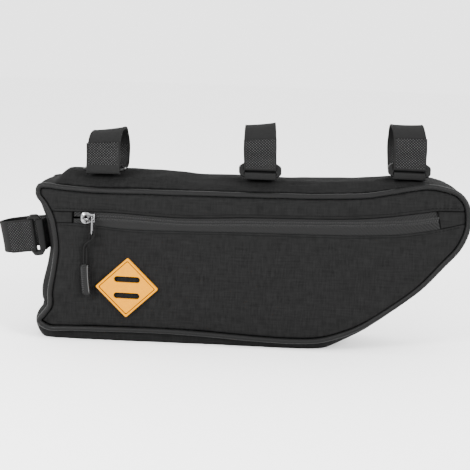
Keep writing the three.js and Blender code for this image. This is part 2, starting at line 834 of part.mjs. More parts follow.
function ringFrame(row) {
  const h = ring_length / 2;
  const shape = new THREE.Shape();
  const c = 2.2;
  shape.moveTo(-h + c, 0);
  shape.lineTo(h - c, 0);
  shape.lineTo(h, c);
  shape.lineTo(h, ring_height - c);
  shape.lineTo(h - c, ring_height);
  shape.lineTo(-h + c, ring_height);
  shape.lineTo(-h, ring_height - c);
  shape.lineTo(-h, c);
  const hole = new THREE.Path();
  const w = h - ring_end;
  hole.moveTo(-w, ring_bar);
  hole.lineTo(-w, ring_height - ring_bar);
  hole.lineTo(w, ring_height - ring_bar);
  hole.lineTo(w, ring_bar);
  shape.holes.push(hole);
  const geometry = new THREE.ExtrudeGeometry(shape, { depth: ring_thick, bevelEnabled: false });
  geometry.translate(0, 0, -ring_thick / 2);
  const { lower, lean } = ringBars(row);
  const s = Math.sin(lean);
  const t = Math.cos(lean);
  return reorder(geometry, (x, y, z) => {
    const v = y - ring_bar / 2;
    return [x, -lower.out - v * s - z * t, lower.height + v * t - z * s];
  });
}

// Outermost point of the gusset on one line across its depth, along the top or the left side.
function gussetCrown(seat, at, across) {
  const crown = stations.map((s) => gussetPoint(s, across, cloth / 2));
  let best = null;
  for (let i = 0; i < crown.length; i += 1) {
    const a = crown[i];
    const b = crown[(i + 1) % crown.length];
    const from = seat ? a[2] : a[0];
    const to = seat ? b[2] : b[0];
    if (from === to || (at - from) * (at - to) > 0) {
      continue;
    }
    const t = (at - from) / (to - from);
    const p = { x: a[0] + t * (b[0] - a[0]), z: a[2] + t * (b[2] - a[2]) };
    const better = !best || (seat ? p.x < best.x : p.z > best.z);
    if (better) {
      best = p;
    }
  }
  return best;
}

for (const row of strap_rows) {
  const seat = row.name === 'strap_seat';
  const tall = row.tall * strap_depth;
  const at = seat ? lowest_seam + row.at * panel_height : row.at * panel_length;
  const lean = THREE.MathUtils.degToRad(row.lean);
  const reach = webbing_width / 2 + 0.5;
  const under_foot = [{ across: -0.3, clear: 0 }, { across: 0, clear: 0 }, { across: 0.3, clear: 0 }];
  const { lower, upper } = ringBars(row);
  const sag = webbing_thick + gap * 2 + ring_bar / 2 - upper.height;
  const far = row.ring_side * 2 / bag_depth;
  under_foot.push({ across: far * lower.out, clear: tab_thick }, { across: far * upper.out, clear: sag });
  const outAt = (t, across) => {
    const p = gussetCrown(seat, at + t * reach, across);
    return seat ? -p.x : p.z;
  };
  const surface = (outAt(1, 0) - outAt(-1, 0)) / (2 * reach);
  let out = -Infinity;
  for (const spot of under_foot) {
    for (const t of [-1, -0.5, 0, 0.5, 1]) {
      out = Math.max(out, outAt(t, spot.across) - surface * t * reach + spot.clear);
    }
  }
  const foot_slope = Math.tan(Math.atan(surface) + (seat ? lean + Math.PI / 2 : lean));
  const clear = ring_lift + ring_height + 1;
  const place = (geometry) => {
    reorder(geometry, (x, y, z) => {
      const share = Math.min(Math.max((z - clear) / (tall - clear), 0), 1);
      return [x, -y * row.ring_side, z + x * (foot_slope * (1 - share) + row.top_slope * share)];
    });
    geometry.rotateZ(-THREE.MathUtils.degToRad(row.twist));
    geometry.rotateY(lean);
    geometry.translate(seat ? -out : at, 0, seat ? at : out);
    const body = toManifold(row.ring_side > 0 ? flipped(geometry) : geometry);
    return fromManifold(body);
  };
  addPart(row.name, place(ribbon(strapPath(row), webbing_thick, webbing_width, 1.6)), webbing);
  addPart(`${row.name}_ring_tab`, place(ribbon(tabPath(row), tab_thick, webbing_width - 1, 1.6)), webbing);
  addPart(`${row.name}_ring`, place(ringFrame(row)), black_plastic);
}

// Turns the faces round after a mirror.
function flipped(geometry) {
  const p = geometry.attributes.position;
  for (let i = 0; i < p.count; i += 3) {
    const a = [p.getX(i), p.getY(i), p.getZ(i)];
    p.setXYZ(i, p.getX(i + 1), p.getY(i + 1), p.getZ(i + 1));
    p.setXYZ(i + 1, ...a);
  }
  return geometry;
}

export default group;
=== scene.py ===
"""Bicycle frame bag: nylon body with piping, zip, lash tab and hook-and-loop strap loops."""
import math

import bpy
import numpy as np
from mathutils import Matrix, Vector, kdtree, noise
from mathutils.geometry import delaunay_2d_cdt


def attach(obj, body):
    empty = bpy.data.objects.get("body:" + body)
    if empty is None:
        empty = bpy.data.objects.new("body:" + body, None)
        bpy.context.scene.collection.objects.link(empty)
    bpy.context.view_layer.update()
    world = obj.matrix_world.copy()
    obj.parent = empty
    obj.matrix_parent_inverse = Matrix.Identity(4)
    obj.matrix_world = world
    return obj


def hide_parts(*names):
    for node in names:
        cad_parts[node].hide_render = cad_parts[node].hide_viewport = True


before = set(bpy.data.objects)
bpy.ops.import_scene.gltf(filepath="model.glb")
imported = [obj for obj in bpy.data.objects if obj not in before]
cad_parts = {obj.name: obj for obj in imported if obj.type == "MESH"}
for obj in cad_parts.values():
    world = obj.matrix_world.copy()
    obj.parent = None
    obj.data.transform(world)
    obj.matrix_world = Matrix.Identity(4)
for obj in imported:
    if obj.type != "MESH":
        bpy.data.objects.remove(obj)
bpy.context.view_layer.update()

# Camera: a long lens 0.8 m away, a little above the bag and nearly square to its front panel,
# rolled so that the bag's base runs slightly downhill to the right as in the photo.
azimuth, elevation, roll = math.radians(-1.55), math.radians(10), math.radians(2.2)
level = math.cos(elevation)
forward = Vector((math.sin(azimuth) * level, math.cos(azimuth) * level, -math.sin(elevation)))
side = forward.cross(Vector((0, 0, 1))).normalized()
above = side.cross(forward)
side, above = side * math.cos(roll) + above * math.sin(roll), above * math.cos(roll) - side * math.sin(roll)
lens = bpy.data.cameras.new("photo_camera")
lens.sensor_width = 36
lens.lens = 76.6
lens.clip_start = 0.01
camera = bpy.data.objects.new("photo_camera", lens)
bpy.context.scene.collection.objects.link(camera)
turned = Matrix((side, above, -forward)).transposed().to_4x4()
camera.matrix_world = Matrix.Translation((0.0088, -0.8176, 0.2324)) @ turned
bpy.context.scene.camera = camera

# Pull cord: one length of thin black braided cord, doubled through the wire of the zip pull.
# One strand crosses in front of the other just under the wire, and both ends go into the grip.
MM = 0.001


def grey(tone):
    """A neutral colour."""
    return tone, tone, tone


class Val:
    """One value in a shader. Sums and products of values become Math nodes."""

    def __init__(self, paint, socket):
        self.paint = paint
        self.socket = socket

    def math(self, operation, *others):
        return self.paint.node("Math", {"operation": operation}, [self, *others])

    def __add__(self, other):
        return self.math("ADD", other)

    def __mul__(self, other):
        return self.math("MULTIPLY", other)

    def __sub__(self, other):
        return self.math("SUBTRACT", other)

    def __truediv__(self, other):
        return self.math("DIVIDE", other)

    def __rsub__(self, other):
        return self.paint.node("Math", {"operation": "SUBTRACT"}, [other, self])

    __radd__ = __add__
    __rmul__ = __mul__

    def sin(self):
        return self.math("SINE")

    def size(self):
        return self.math("ABSOLUTE")

    def power(self, exponent):
        return self.math("POWER", exponent)

    def between(self, low, high):
        """0 up to low, 1 from high on, smooth in between."""
        settings = {"interpolation_type": "SMOOTHSTEP"}
        return self.paint.node("MapRange", settings, {"Value": self, "From Min": low, "From Max": high})


class Paint:
    """A principled material with its finish given here, which keeps the name of one of the record's slots."""

    def __init__(self, name, slot, colour, roughness, specular=0.5, metallic=0.0):
        self.slot = slot
        self.material = bpy.data.materials.new(name)
        self.material.use_nodes = True
        self.tree = self.material.node_tree
        self.shader = self.tree.nodes["Principled BSDF"]
        self.shader.inputs["Base Color"].default_value = (*colour, 1)
        self.shader.inputs["Roughness"].default_value = roughness
        self.shader.inputs["Specular IOR Level"].default_value = specular
        self.shader.inputs["Metallic"].default_value = metallic

    def node(self, kind, settings=None, inputs=(), out=0):
        made = self.tree.nodes.new("ShaderNode" + kind)
        for key, value in (settings or {}).items():
            setattr(made, key, value)
        pairs = inputs.items() if isinstance(inputs, dict) else enumerate(inputs)
        for key, value in pairs:
            if isinstance(value, Val):
                self.tree.links.new(value.socket, made.inputs[key])
            else:
                made.inputs[key].default_value = value
        return Val(self, made.outputs[out])

    def weave_uv(self):
        """Place on the cloth in millimetres: u along, v across."""
        place = self.node("UVMap", {"uv_map": "weave"})
        split = self.node("SeparateXYZ", None, [place])
        return split, Val(self, split.socket.node.outputs[1])

    def noise(self, scale, detail=2.0):
        """Cloudy noise in the object's own space, scale per metre."""
        place = self.node("TexCoord", None, (), 3)
        return self.node("TexNoise", None, {"Vector": place, "Scale": scale, "Detail": detail})

    def streaks(self, along, across):
        """Noise drawn out one way, from two values of place."""
        place = self.node("CombineXYZ", None, [along, across])
        return self.node("TexNoise", None, {"Vector": place, "Scale": 1.0, "Detail": 2.0})

    def mix(self, share, dark, light):
        """Two colours, each a triple or another mix, by a share from 0 to 1."""
        dark, light = (c if isinstance(c, Val) else (*c, 1) for c in (dark, light))
        return self.node("Mix", {"data_type": "RGBA"}, {0: share, 6: dark, 7: light}, 2)

    def set(self, socket, value):
        self.tree.links.new(value.socket, self.shader.inputs[socket])

    def bump(self, height, strength, distance):
        bumped = self.node("Bump", None, {"Strength": strength, "Distance": distance * MM, "Height": height})
        self.set("Normal", bumped)


def spline(points, per, closed=False):
    """Dense points of a centripetal curve through the given ones, per steps to each span."""
    knots = np.asarray(points, float)
    count = len(knots)
    t = np.arange(per)[:, None] / per
    spans = []
    for i in range(count if closed else count - 1):
        b, c = knots[i], knots[(i + 1) % count]
        a = knots[i - 1] if closed or i > 0 else 2 * b - c
        d = knots[(i + 2) % count] if closed or i + 2 < count else 2 * c - b
        ab, bc, cd = (max(np.linalg.norm(q - p), 1e-9) ** 0.5 for p, q in ((a, b), (b, c), (c, d)))
        start = ((b - a) / ab - (c - a) / (ab + bc) + (c - b) / bc) * bc
        end = ((c - b) / bc - (d - b) / (bc + cd) + (d - c) / cd) * bc
        spans.append((2 * t**3 - 3 * t**2 + 1) * b + (t**3 - 2 * t**2 + t) * start
                     + (3 * t**2 - 2 * t**3) * c + (t**3 - t**2) * end)
    if not closed:
        spans.append(knots[-1:])
    return np.vstack(spans)


def piece(name, points, faces, uvs, paint, *nodes):
    """A shown piece in millimetres that rides with the bag and stands for the CAD nodes named."""
    mesh = bpy.data.meshes.new(name)
    mesh.from_pydata((np.asarray(points) * MM).tolist(), [], [list(f) for f in faces])
    layer = mesh.uv_layers.new(name="weave")
    layer.data.foreach_set("uv", np.asarray(uvs, float).ravel())
    mesh.polygons.foreach_set("use_smooth", [True] * len(mesh.polygons))
    mesh.materials.append(paint.material)
    made = bpy.data.objects.new(name, mesh)
    bpy.context.scene.collection.objects.link(made)
    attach(made, "root")
    if nodes:
        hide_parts(*nodes)
    return made


def skin_faces(grid, around, caps, first=0):
    """Quads over n rings of m points each, with their places in millimetres for the weave."""
    n, m = grid.shape[:2]
    step_u = np.linalg.norm(np.roll(grid, -1, 0) - grid, axis=2).mean(1)
    step_v = np.linalg.norm(np.roll(grid, -1, 1) - grid, axis=2).mean(0)
    u = np.r_[0, np.cumsum(step_u)]
    v = np.r_[0, np.cumsum(step_v)]
    faces, uvs = [], []
    for i in range(n if around else n - 1):
        for j in range(m):
            i1, j1 = (i + 1) % n, (j + 1) % m
            faces.append([first + i * m + j, first + i1 * m + j, first + i1 * m + j1, first + i * m + j1])
            uvs += [(u[i], v[j]), (u[i + 1], v[j]), (u[i + 1], v[j + 1]), (u[i], v[j + 1])]
    if caps:
        for ring in (range(m - 1, -1, -1), range((n - 1) * m, n * m)):
            faces.append([first + k for k in ring])
            uvs += [(grid.reshape(-1, 3)[k][0], grid.reshape(-1, 3)[k][2]) for k in ring]
    return faces, uvs


def skin(name, grid, paint, *nodes, around=False):
    """One grid of points as a piece, closed at both ends unless it runs around."""
    faces, uvs = skin_faces(grid, around, not around)
    return piece(name, grid.reshape(-1, 3), faces, uvs, paint, *nodes)


def skins(name, grids, paint, *nodes):
    """Several closed skins in one piece."""
    faces, uvs, first = [], [], 0
    for grid in grids:
        more, more_uvs = skin_faces(grid, False, True, first)
        faces += more
        uvs += more_uvs
        first += grid.shape[0] * grid.shape[1]
    return piece(name, np.vstack([grid.reshape(-1, 3) for grid in grids]), faces, uvs, paint, *nodes)


def sweep(path, section, closed=False):
    """Grid of a flat section carried along a path without twisting. section is (sideways, up)."""
    path = np.asarray(path, float)
    ahead = np.roll(path, -1, 0) - np.roll(path, 1, 0)
    if not closed:
        ahead[0], ahead[-1] = path[1] - path[0], path[-1] - path[-2]
    ahead /= np.linalg.norm(ahead, axis=1)[:, None]
    up = np.array([0, 1, 0]) if abs(ahead[0][1]) < 0.9 else np.array([1.0, 0, 0])
    rows = []
    for point, way in zip(path, ahead):
        up = up - way * up.dot(way)
        up = up / np.linalg.norm(up)
        out = np.cross(way, up)
        rows.append(point + section[:, :1] * out + section[:, 1:] * up)
    return np.array(rows)


def circle(radius, sides):
    angle = np.arange(sides) * 2 * math.pi / sides
    return np.c_[radius * np.cos(angle), radius * np.sin(angle)]


cord_paint = Paint("cord_braid", "cord", grey(0.006), 0.75, 0.06)
u, v = cord_paint.weave_uv()
braid = ((u * 3.4 + v * 3.4).sin() * (u * 3.4 - v * 3.4).sin()).size()
cord_paint.set("Base Color", cord_paint.mix(braid, grey(0.0015), grey(0.007)))
cord_paint.bump(braid, 0.6, 0.15)
GRIP_X, GRIP_TOP, GRIP_FACE, GRIP_LONG, GRIP_BEND = -131.72, 65.38, -35.53, 25.6, 2.2
WIRE_X, WIRE_FACE, WIRE_LOW = -126.4, -36.89, 90.18
cord_knots = [
    (GRIP_X - 1.1, GRIP_FACE, GRIP_TOP + 0.4),
    (GRIP_X - 1.1, GRIP_FACE, GRIP_TOP + 8.0),
    (GRIP_X - 0.8, GRIP_FACE - 0.8, GRIP_TOP + 13.8),
    (GRIP_X + 1.5, GRIP_FACE - 2.2, GRIP_TOP + 17.6),
    (WIRE_X + 1.2, WIRE_FACE - 0.7, WIRE_LOW - 3.0),
    (WIRE_X + 1.7, WIRE_FACE - 0.2, WIRE_LOW + 0.1),
    (WIRE_X, WIRE_FACE, WIRE_LOW + 1.9),
    (WIRE_X - 1.9, WIRE_FACE + 0.3, WIRE_LOW - 0.2),
    (WIRE_X - 1.9, WIRE_FACE + 0.9, WIRE_LOW - 3.6),
    (GRIP_X + 1.4, GRIP_FACE, GRIP_TOP + 16.5),
    (GRIP_X + 1.2, GRIP_FACE, GRIP_TOP + 8.0),
    (GRIP_X + 1.1, GRIP_FACE, GRIP_TOP + 0.4),
]
cord_line = spline(cord_knots, 12)
pull_cord = skin("cord_of_pull", sweep(cord_line, circle(0.9, 12)), cord_paint, "pull_cord")

# Grip: a moulded black rubber tag with rounded ends, closed over the two ends of the cord.
# It is satin, and one long highlight is painted into its colour down its front edge.
grip_paint = Paint("grip_rubber", "grip_rubber", grey(0.006), 0.35, 0.08)
place = grip_paint.node("TexCoord", None, (), 3)
x, z = (grip_paint.node("SeparateXYZ", None, [place], k) * 1000 for k in (0, 2))
ribs = (z * (2 * math.pi / 1.7)).sin() * (GRIP_X + 1.2 - x).between(0, 1.4)
bend = (GRIP_TOP - z) / GRIP_LONG
edge = (x - bend * bend * GRIP_BEND - (GRIP_X + 2.05)).size()
# Painted highlight: a pale stripe along the bent front edge, fading out at the foot.
painted_highlight = (0.4 - edge).between(0, 0.4) * (z - (GRIP_TOP - 24)).between(0, 3)
rubber = grip_paint.mix(ribs * 0.5 + 0.5, grey(0.003), grey(0.0085))
grip_paint.set("Base Color", grip_paint.mix(painted_highlight, rubber, grey(0.065)))
grip_paint.bump(ribs, 0.5, 0.25)


def rounded(width, height, corner, per=5):
    """Anticlockwise outline of a rectangle with round corners, about the origin."""
    points = []
    for quarter in range(4):
        cx = (width / 2 - corner) * (1 if quarter in (0, 3) else -1)
        cy = (height / 2 - corner) * (1 if quarter in (0, 1) else -1)
        for k in range(per + 1):
            angle = math.pi / 2 * (quarter + k / per)
            points.append((cx + corner * math.cos(angle), cy + corner * math.sin(angle)))
    return np.array(points)


grip_rows = []
for down in np.r_[0.0, 0.3, 1.0, 2.2, np.linspace(4, 21, 12), 23.2, 24.5, 25.3, GRIP_LONG]:
    ends = min(down / 2.2, (GRIP_LONG - down) / 2.4, 1)
    shrink = math.sqrt(max(1 - (1 - ends) ** 2, 0.09))
    waist = 1 - 0.1 * math.sin(math.pi * down / GRIP_LONG)
    loop = rounded(7.5 * shrink * waist, 4.9 * shrink, 1.9 * shrink)
    bent = GRIP_BEND * (down / GRIP_LONG) ** 2 - 0.4
    level = np.full(len(loop), GRIP_TOP - down)
    grip_rows.append(np.c_[GRIP_X + bent + loop[:, 0], GRIP_FACE + loop[:, 1], level])
grip = skin("grip_of_pull", np.array(grip_rows), grip_paint, "pull_grip")

# Zip slider and wire pull: a plated cast slider with a raised bridge, and a bent wire loop that
# hangs from the bridge. Both are polished, and the shade in the hollows at the bridge is painted in.
steel = Paint("plated_steel", "steel", (0.3, 0.3, 0.31), 0.22, metallic=1.0)
place = steel.node("TexCoord", None, (), 3)
flat_place = steel.node("VectorMath", {"operation": "MULTIPLY"}, [place, (1, 0, 1)])
plating_tone_and_painted_shade = steel.noise(420).between(0.3, 0.6) * 0.6 + 0.4
# Painted shade: the colour sinks to near black round three spots by the bridge, where its hollows lie in
# shadow. The noise above is the plating's uneven tone.
for x, z, dark, light in ((-128.0, 102.4, 1.0, 1.8), (-125.9, 101.2, 0.4, 1.3), (-131.6, 99.3, 0.2, 1.3)):
    away = steel.node("VectorMath", {"operation": "DISTANCE"}, [flat_place, (x * MM, 0, z * MM)], 1)
    plating_tone_and_painted_shade = plating_tone_and_painted_shade * away.between(dark * MM, light * MM)
steel.set("Base Color", steel.mix(plating_tone_and_painted_shade, grey(0.004), (0.21, 0.21, 0.215)))
steel.bump(steel.noise(900), 0.1, 0.2)
wire_steel = Paint("plated_wire", "steel", (0.13, 0.13, 0.133), 0.25, metallic=1.0)
SLIDER = (-130.85, -31.93, 102.58)
turn = np.linspace(0, 2 * math.pi, 49)[:-1]
wire_top, wire_low = 104.78, WIRE_LOW
rise = np.sin(turn)
half_width = np.where(rise > 0, 1.5, 1.5 * (1 - 0.4 * rise))
straight = (wire_top - wire_low) / 2 - half_width
wire_z = (wire_top + wire_low) / 2 + np.sign(rise) * straight * np.minimum(abs(rise) * 3, 1)
wire_z = wire_z + half_width * rise
wire_path = np.c_[np.full(48, WIRE_X), WIRE_FACE + half_width * np.cos(turn), wire_z]
skin("wire_of_pull", sweep(wire_path, circle(0.6, 10), closed=True), wire_steel, "pull_wire", around=True)


def stack(outlines, heights, x, y, z):
    """Grid of outlines in the panel plane at heights out of it, about the point x, y, z."""
    rows = [np.c_[x + o[:, 0], np.full(len(o), y - h), z + o[:, 1]] for o, h in zip(outlines, heights)]
    return np.array(rows)


upper = [(-5.7, 3.4), (-3.4, 5.1), (0.2, 4.9), (2.2, 3.9), (5.6, 3.7), (6.1, 3.2)]
shield = spline([(-6.2, 0), *upper, (6.2, 0), *[(x, -z) for x, z in reversed(upper)]], 6, closed=True)
shield = shield * (0.93, 0.95) + (0.35, 0)
sx, sy, sz = SLIDER
body = stack([shield * 0.93, shield, shield, shield * 0.95, shield * 0.82, shield * 0.5],
             [-1.4, -1.0, 0.7, 1.25, 1.5, 1.62], sx, sy, sz)
bridge_side = spline([(-3.2, 1.0), (-1.6, 3.9), (0.4, 5.25), (4.6, 5.35), (5.9, 4.3), (6.0, 1.2)], 8)
bar = rounded(2.4, 0.95, 0.3)
bridge_path = np.c_[sx + bridge_side[:, 0], sy - bridge_side[:, 1], np.full(len(bridge_side), sz)]
skins("slider_of_zip", [body, sweep(bridge_path, bar[:, ::-1])], steel, "zipper_slider")

# Gusset: one long band of black coated nylon between the two piped seams, soft and a little
# overfull, with loose folds along the top and left and a flat underside.
LENGTH, HEIGHT, DEPTH, BASE, HALF = 342, 131, 60, 7.6, 28.0
outline = np.array([
    # u, v, bulge, back
    (-0.497, 0.905, 0.02, 0.00), (-0.473, 0.912, 0.00, 0.01),
    (-0.449, 0.905, 0.16, 0.05), (-0.379, 0.894, 0.165, 0.09),
    (-0.262, 0.897, 0.18, 0.09), (-0.117, 0.901, 0.14, 0.08), (0.029, 0.905, 0.135, 0.08),
    (0.175, 0.915, 0.12, 0.07), (0.263, 0.930, 0.13, 0.06), (0.318, 0.957, 0.115, 0.04),
    (0.363, 0.982, 0.08, 0.02), (0.409, 0.999, 0.035, 0.00), (0.443, 0.988, 0.02, 0.00),
    (0.474, 0.962, 0.02, 0.00), (0.495, 0.903, 0.02, 0.00), (0.503, 0.802, 0.03, 0.00),
    (0.4995, 0.721, 0.04, 0.00), (0.484, 0.627, 0.06, 0.00), (0.451, 0.522, 0.07, 0.00),
    (0.401, 0.373, 0.08, 0.00), (0.346, 0.252, 0.09, 0.00), (0.273, 0.117, 0.12, 0.00),
    (0.222, 0.053, 0.13, 0.00), (0.175, 0.015, 0.19, 0.00), (0.102, 0.001, 0.22, 0.00),
    (0.000, 0.008, 0.24, 0.00), (-0.117, 0.024, 0.30, 0.00), (-0.278, 0.028, 0.38, 0.00),
    (-0.4225, 0.021, 0.34, 0.00), (-0.4754, 0.021, 0.24, 0.00), (-0.4965, 0.061, 0.09, 0.00),
    (-0.485, 0.107, 0.075, 0.03), (-0.4716, 0.160, 0.155, 0.05), (-0.471, 0.252, 0.14, 0.05),
    (-0.4626, 0.392, 0.105, 0.06), (-0.4567, 0.518, 0.12, 0.06), (-0.4605, 0.618, 0.135, 0.06),
    (-0.469, 0.718, 0.14, 0.05), (-0.484, 0.796, 0.12, 0.03), (-0.500, 0.855, 0.06, 0.00),
])
PER = 12
seam = spline(outline[:, :2] * (LENGTH, HEIGHT) + (0, BASE), PER, closed=True)
COUNT = len(seam)
along = np.arange(COUNT) / PER
smooth = np.hanning(PER + 3)[1:-1] / np.hanning(PER + 3)[1:-1].sum()


def round_table(column):
    """A column of the outline table at every station, eased from row to row."""
    line = np.interp(along, np.arange(len(outline) + 1), np.r_[column, column[0]])
    pad = len(smooth) // 2
    return np.convolve(np.r_[line[-pad:], line, line[:pad]], smooth, "valid")


bulge, back = DEPTH * round_table(outline[:, 2]), DEPTH * round_table(outline[:, 3])
tangent = np.roll(seam, -2, 0) - np.roll(seam, 2, 0)
tangent /= np.linalg.norm(tangent, axis=1)[:, None]
normal = np.c_[-tangent[:, 1], tangent[:, 0]]


def cloudy(points, wavelength, seed=0):
    """Smooth noise from -1 to 1 at points in millimetres."""
    shift = Vector((seed * 17.3, seed * 5.1, -seed * 9.7))
    flat = points.reshape(-1, 3).tolist()
    values = [noise.noise(Vector(p) / wavelength + shift) for p in flat]
    return np.array(values).reshape(points.shape[:-1])


def folds(points, rows):
    """Height of listed folds: rows of centre x y z, way x y z, length, width, height."""
    total = np.zeros(points.shape[:-1])
    for row in rows:
        centre, way, length, width, height = np.array(row[:3]), np.array(row[3:6], float), *row[6:]
        way /= np.linalg.norm(way)
        away = points - centre
        on = away @ way
        off = np.linalg.norm(away - on[..., None] * way, axis=-1)
        total += height * np.exp(-((on / length) ** 2) - (off / width) ** 2)
    return total


gusset_folds = [
    (-88, -8, 136, 1.0, 0.35, 0.0, 24, 6, -1.6), (-60, 4, 135, 1.0, 0.25, 0.0, 40, 8, 1.2),
    (-43, -2, 134, 0.2, 1.0, 0.0, 24, 16, -1.7),
    (-20, -14, 133, 1.0, -0.12, 0.0, 45, 5, -1.1), (44, -19, 133, 1.0, 0.1, -0.05, 15, 2.4, 1.1),
    (62, -13, 135, 1.0, 0.2, 0.0, 16, 3, 1.0),
    (44, -15, 134, 1.0, 0.1, -0.05, 18, 2.6, -1.2), (40, -12, 134, 1.0, 0.05, 0.0, 50, 5, 0.5),
    (80, -18, 134, 1.0, 0.25, 0.1, 26, 4, -1.0), (100, -12, 139, 1.0, 0.45, 0.1, 20, 4, 1.0),
    (-152, 0, 128, 0.3, 1.0, 0.0, 26, 12, 1.8), (-162, -8, 52, 0.1, 0.3, 1.0, 34, 12, 1.9),
    (-166, -14, 38, 0.2, 0.6, -1.0, 14, 4, 0.8), (-164, -14, 100, 0.1, -0.4, 1.0, 14, 4, -0.5),
]
across = np.sin(np.linspace(-1, 1, 55) * math.pi / 2)


def band_at(reach):
    """Grid of points on the band, standing out from the seam by reach."""
    depth = np.tile(across * HALF, (COUNT, 1))
    return np.dstack([seam[:, :1] + normal[:, :1] * reach, depth, seam[:, 1:] + normal[:, 1:] * reach])


fullness = 2.6 + 1.6 * np.maximum(-normal[:, 1], 0)
reach = back[:, None] * (across + 1) / 2 + bulge[:, None] * (1 - abs(across) ** fullness[:, None]) + 0.8
plain = band_at(reach)
free = 1 - abs(across) ** 6
from_edge = (1 - abs(across)) * HALF
edge = np.exp(-((from_edge / 1.5) ** 2))
pucker = np.exp(-((from_edge / 6) ** 2)) * (1 - edge)
arc = np.r_[0, np.cumsum(np.linalg.norm(np.diff(seam, axis=0), axis=1))]
ripple = 0.35 * np.sin(arc * 2 * math.pi / 9.5 + 3 * cloudy(plain[:, 0] * (1, 0, 1), 30, 4))[:, None] * pucker
waves = 0.9 * cloudy(plain, 38, 1) + 0.35 * cloudy(plain, 15, 2) + folds(plain, gusset_folds)
waves = waves * free + ripple - (2.6 - 1.9 * np.maximum(-normal[:, 1:], 0)) * edge
reach = reach + waves
outer = band_at(reach)
outer[..., 2] = np.maximum(outer[..., 2], 0.05)
inner = outer[:, ::-3].copy()
inner[..., 0] -= normal[:, :1] * 1.4
inner[..., 2] = np.maximum(inner[..., 2] - normal[:, 1:] * 1.4, 1.4)


def packcloth_paint(name, width=0.0):
    """Coated nylon. With a width, painted shade turns its colour black in the two creases along its edges,
    fading out towards the bottom.
    """
    paint = Paint(name, "packcloth", grey(0.009), 0.8, 0.03)
    u, v = paint.weave_uv()
    uneven = paint.noise(260, 3.0)
    threads = ((u * (math.pi / 0.62)).sin() * (v * (math.pi / 0.62)).sin()).size().power(0.6)
    slubs = paint.noise(1500, 2.0)
    upright = paint.streaks(u * 0.9, v * 0.1)
    level = paint.streaks(u * 0.07 + 40, v * 0.8)
    tone = (threads * 0.25 + slubs * 0.2 + uneven * 0.15 + upright * 0.45 + level * 0.35).between(0.3, 1.1)
    colour = paint.mix(tone, grey(0.0018), grey(0.0098))
    if width:
        low = paint.node("SeparateXYZ", None, [paint.node("TexCoord", None, (), 3)], 2) * 1000
        # Painted shade: black within 3.7 mm of either edge of the band, gone by 5.4 mm, none below 8 mm up
        # and full from 22 mm up.
        unshaded = 1 - (1 - v.between(3.7, 5.4) * (width - v).between(3.7, 5.4)) * low.between(8, 22)
        colour = paint.mix(unshaded, grey(0.001), colour)
    paint.set("Base Color", colour)
    paint.set("Roughness", uneven * 0.2 + 0.7)
    paint.bump(threads * 0.7 + slubs * 0.6, 0.55, 0.16)
    return paint


packcloth = packcloth_paint("coated_nylon")
band_width = float(np.linalg.norm(np.diff(outer, axis=1), axis=2).sum(1).mean())
# The band gets painted shade in the creases beside both pipings.
gusset_paint = packcloth_paint("coated_nylon_band", band_width)
skin("gusset_band", np.concatenate([outer, inner], 1), gusset_paint, "gusset", around=True)

# Piping: round cord wrapped in a strip of nylon and sewn into both seams all the way round.
# The cover shows faint puckers at each stitch and sits in a groove between the two cloths.
piping_paint = Paint("piping_nylon", "piping_cloth", grey(0.006), 0.35, 0.07)
u, v = piping_paint.weave_uv()
bias = ((u * 4.4 + v * 4.4).sin() * (u * 4.4 - v * 4.4).sin()).size().power(0.6)
tone = bias * 0.7 + piping_paint.noise(500) * 0.3
piping_paint.set("Base Color", piping_paint.mix(tone, grey(0.003), grey(0.0072)))
piping_paint.bump(bias, 0.4, 0.14)
tube_section = circle(1.0, 14)
pipings = (("piping_front", "front_piping", -30, 0), ("piping_back", "back_piping", 30, 1))
for name, node, depth, share in pipings:
    line = seam + normal * (back * share)[:, None]
    spot = np.c_[line[:, 0], np.full(COUNT, depth), line[:, 1]]
    line = line + normal * (0.25 * cloudy(spot, 22, 7))[:, None]
    line[:, 1] = np.maximum(line[:, 1], 2.7)
    fat = 2.2 + 0.07 * np.sin(arc * 2 * math.pi / 3.6) + 0.1 * cloudy(spot, 9, 5)
    ring = np.stack([
        line[:, :1] + normal[:, :1] * (fat[:, None] * tube_section[:, 0]),
        depth + fat[:, None] * tube_section[:, 1],
        line[:, 1:] + normal[:, 1:] * (fat[:, None] * tube_section[:, 0]),
    ], 2)
    skin(name, ring, piping_paint, node, around=True)

# Front and back panels: flat black coated nylon, sewn into the piping. The front one is cut by
# the zip: its cloth is folded under at the opening and topstitched along both edges.
FACE = 30.8  # how far out the panels lie, before they puff up
INSET = 1.5  # how far inside the seam line their cloth ends
zip_table = np.array([
    # u, top edge, coil, bottom edge
    (-0.480, 0.762, 0.722, 0.676), (-0.413, 0.767, 0.724, 0.684), (-0.354, 0.770, 0.726, 0.668),
    (-0.307, 0.769, 0.727, 0.660), (-0.260, 0.764, 0.724, 0.657), (-0.166, 0.756, 0.715, 0.660),
    (-0.003, 0.775, 0.731, 0.669), (0.113, 0.782, 0.741, 0.673), (0.252, 0.796, 0.755, 0.680),
    (0.344, 0.825, 0.771, 0.696), (0.389, 0.845, 0.785, 0.714), (0.430, 0.862, 0.803, 0.735),
    (0.500, 0.866, 0.815, 0.782),
])


def zip_edge(column):
    """Height of one edge of the zip opening, or of the coil, at any x."""
    dense = spline(np.c_[zip_table[:, 0] * LENGTH, zip_table[:, column] * HEIGHT + BASE], 10)
    return lambda x: np.interp(x, dense[:, 0], dense[:, 1])


zip_top, zip_coil, zip_bottom = zip_edge(1), zip_edge(2), zip_edge(3)


def relief(x, z):
    """How far the panels stand out beyond flat, in millimetres."""
    wide = np.minimum(abs(x) / (LENGTH / 2), 1)
    tall = np.minimum(abs(z - BASE - HEIGHT / 2) / (HEIGHT / 2), 1)
    dent = ((x + LENGTH * 0.44) / 14) ** 2 + ((z - BASE - HEIGHT * 0.16) / 10) ** 2
    return 1.8 * (1 - wide**4) * (1 - tall**4) - 1.2 * np.exp(-dent)


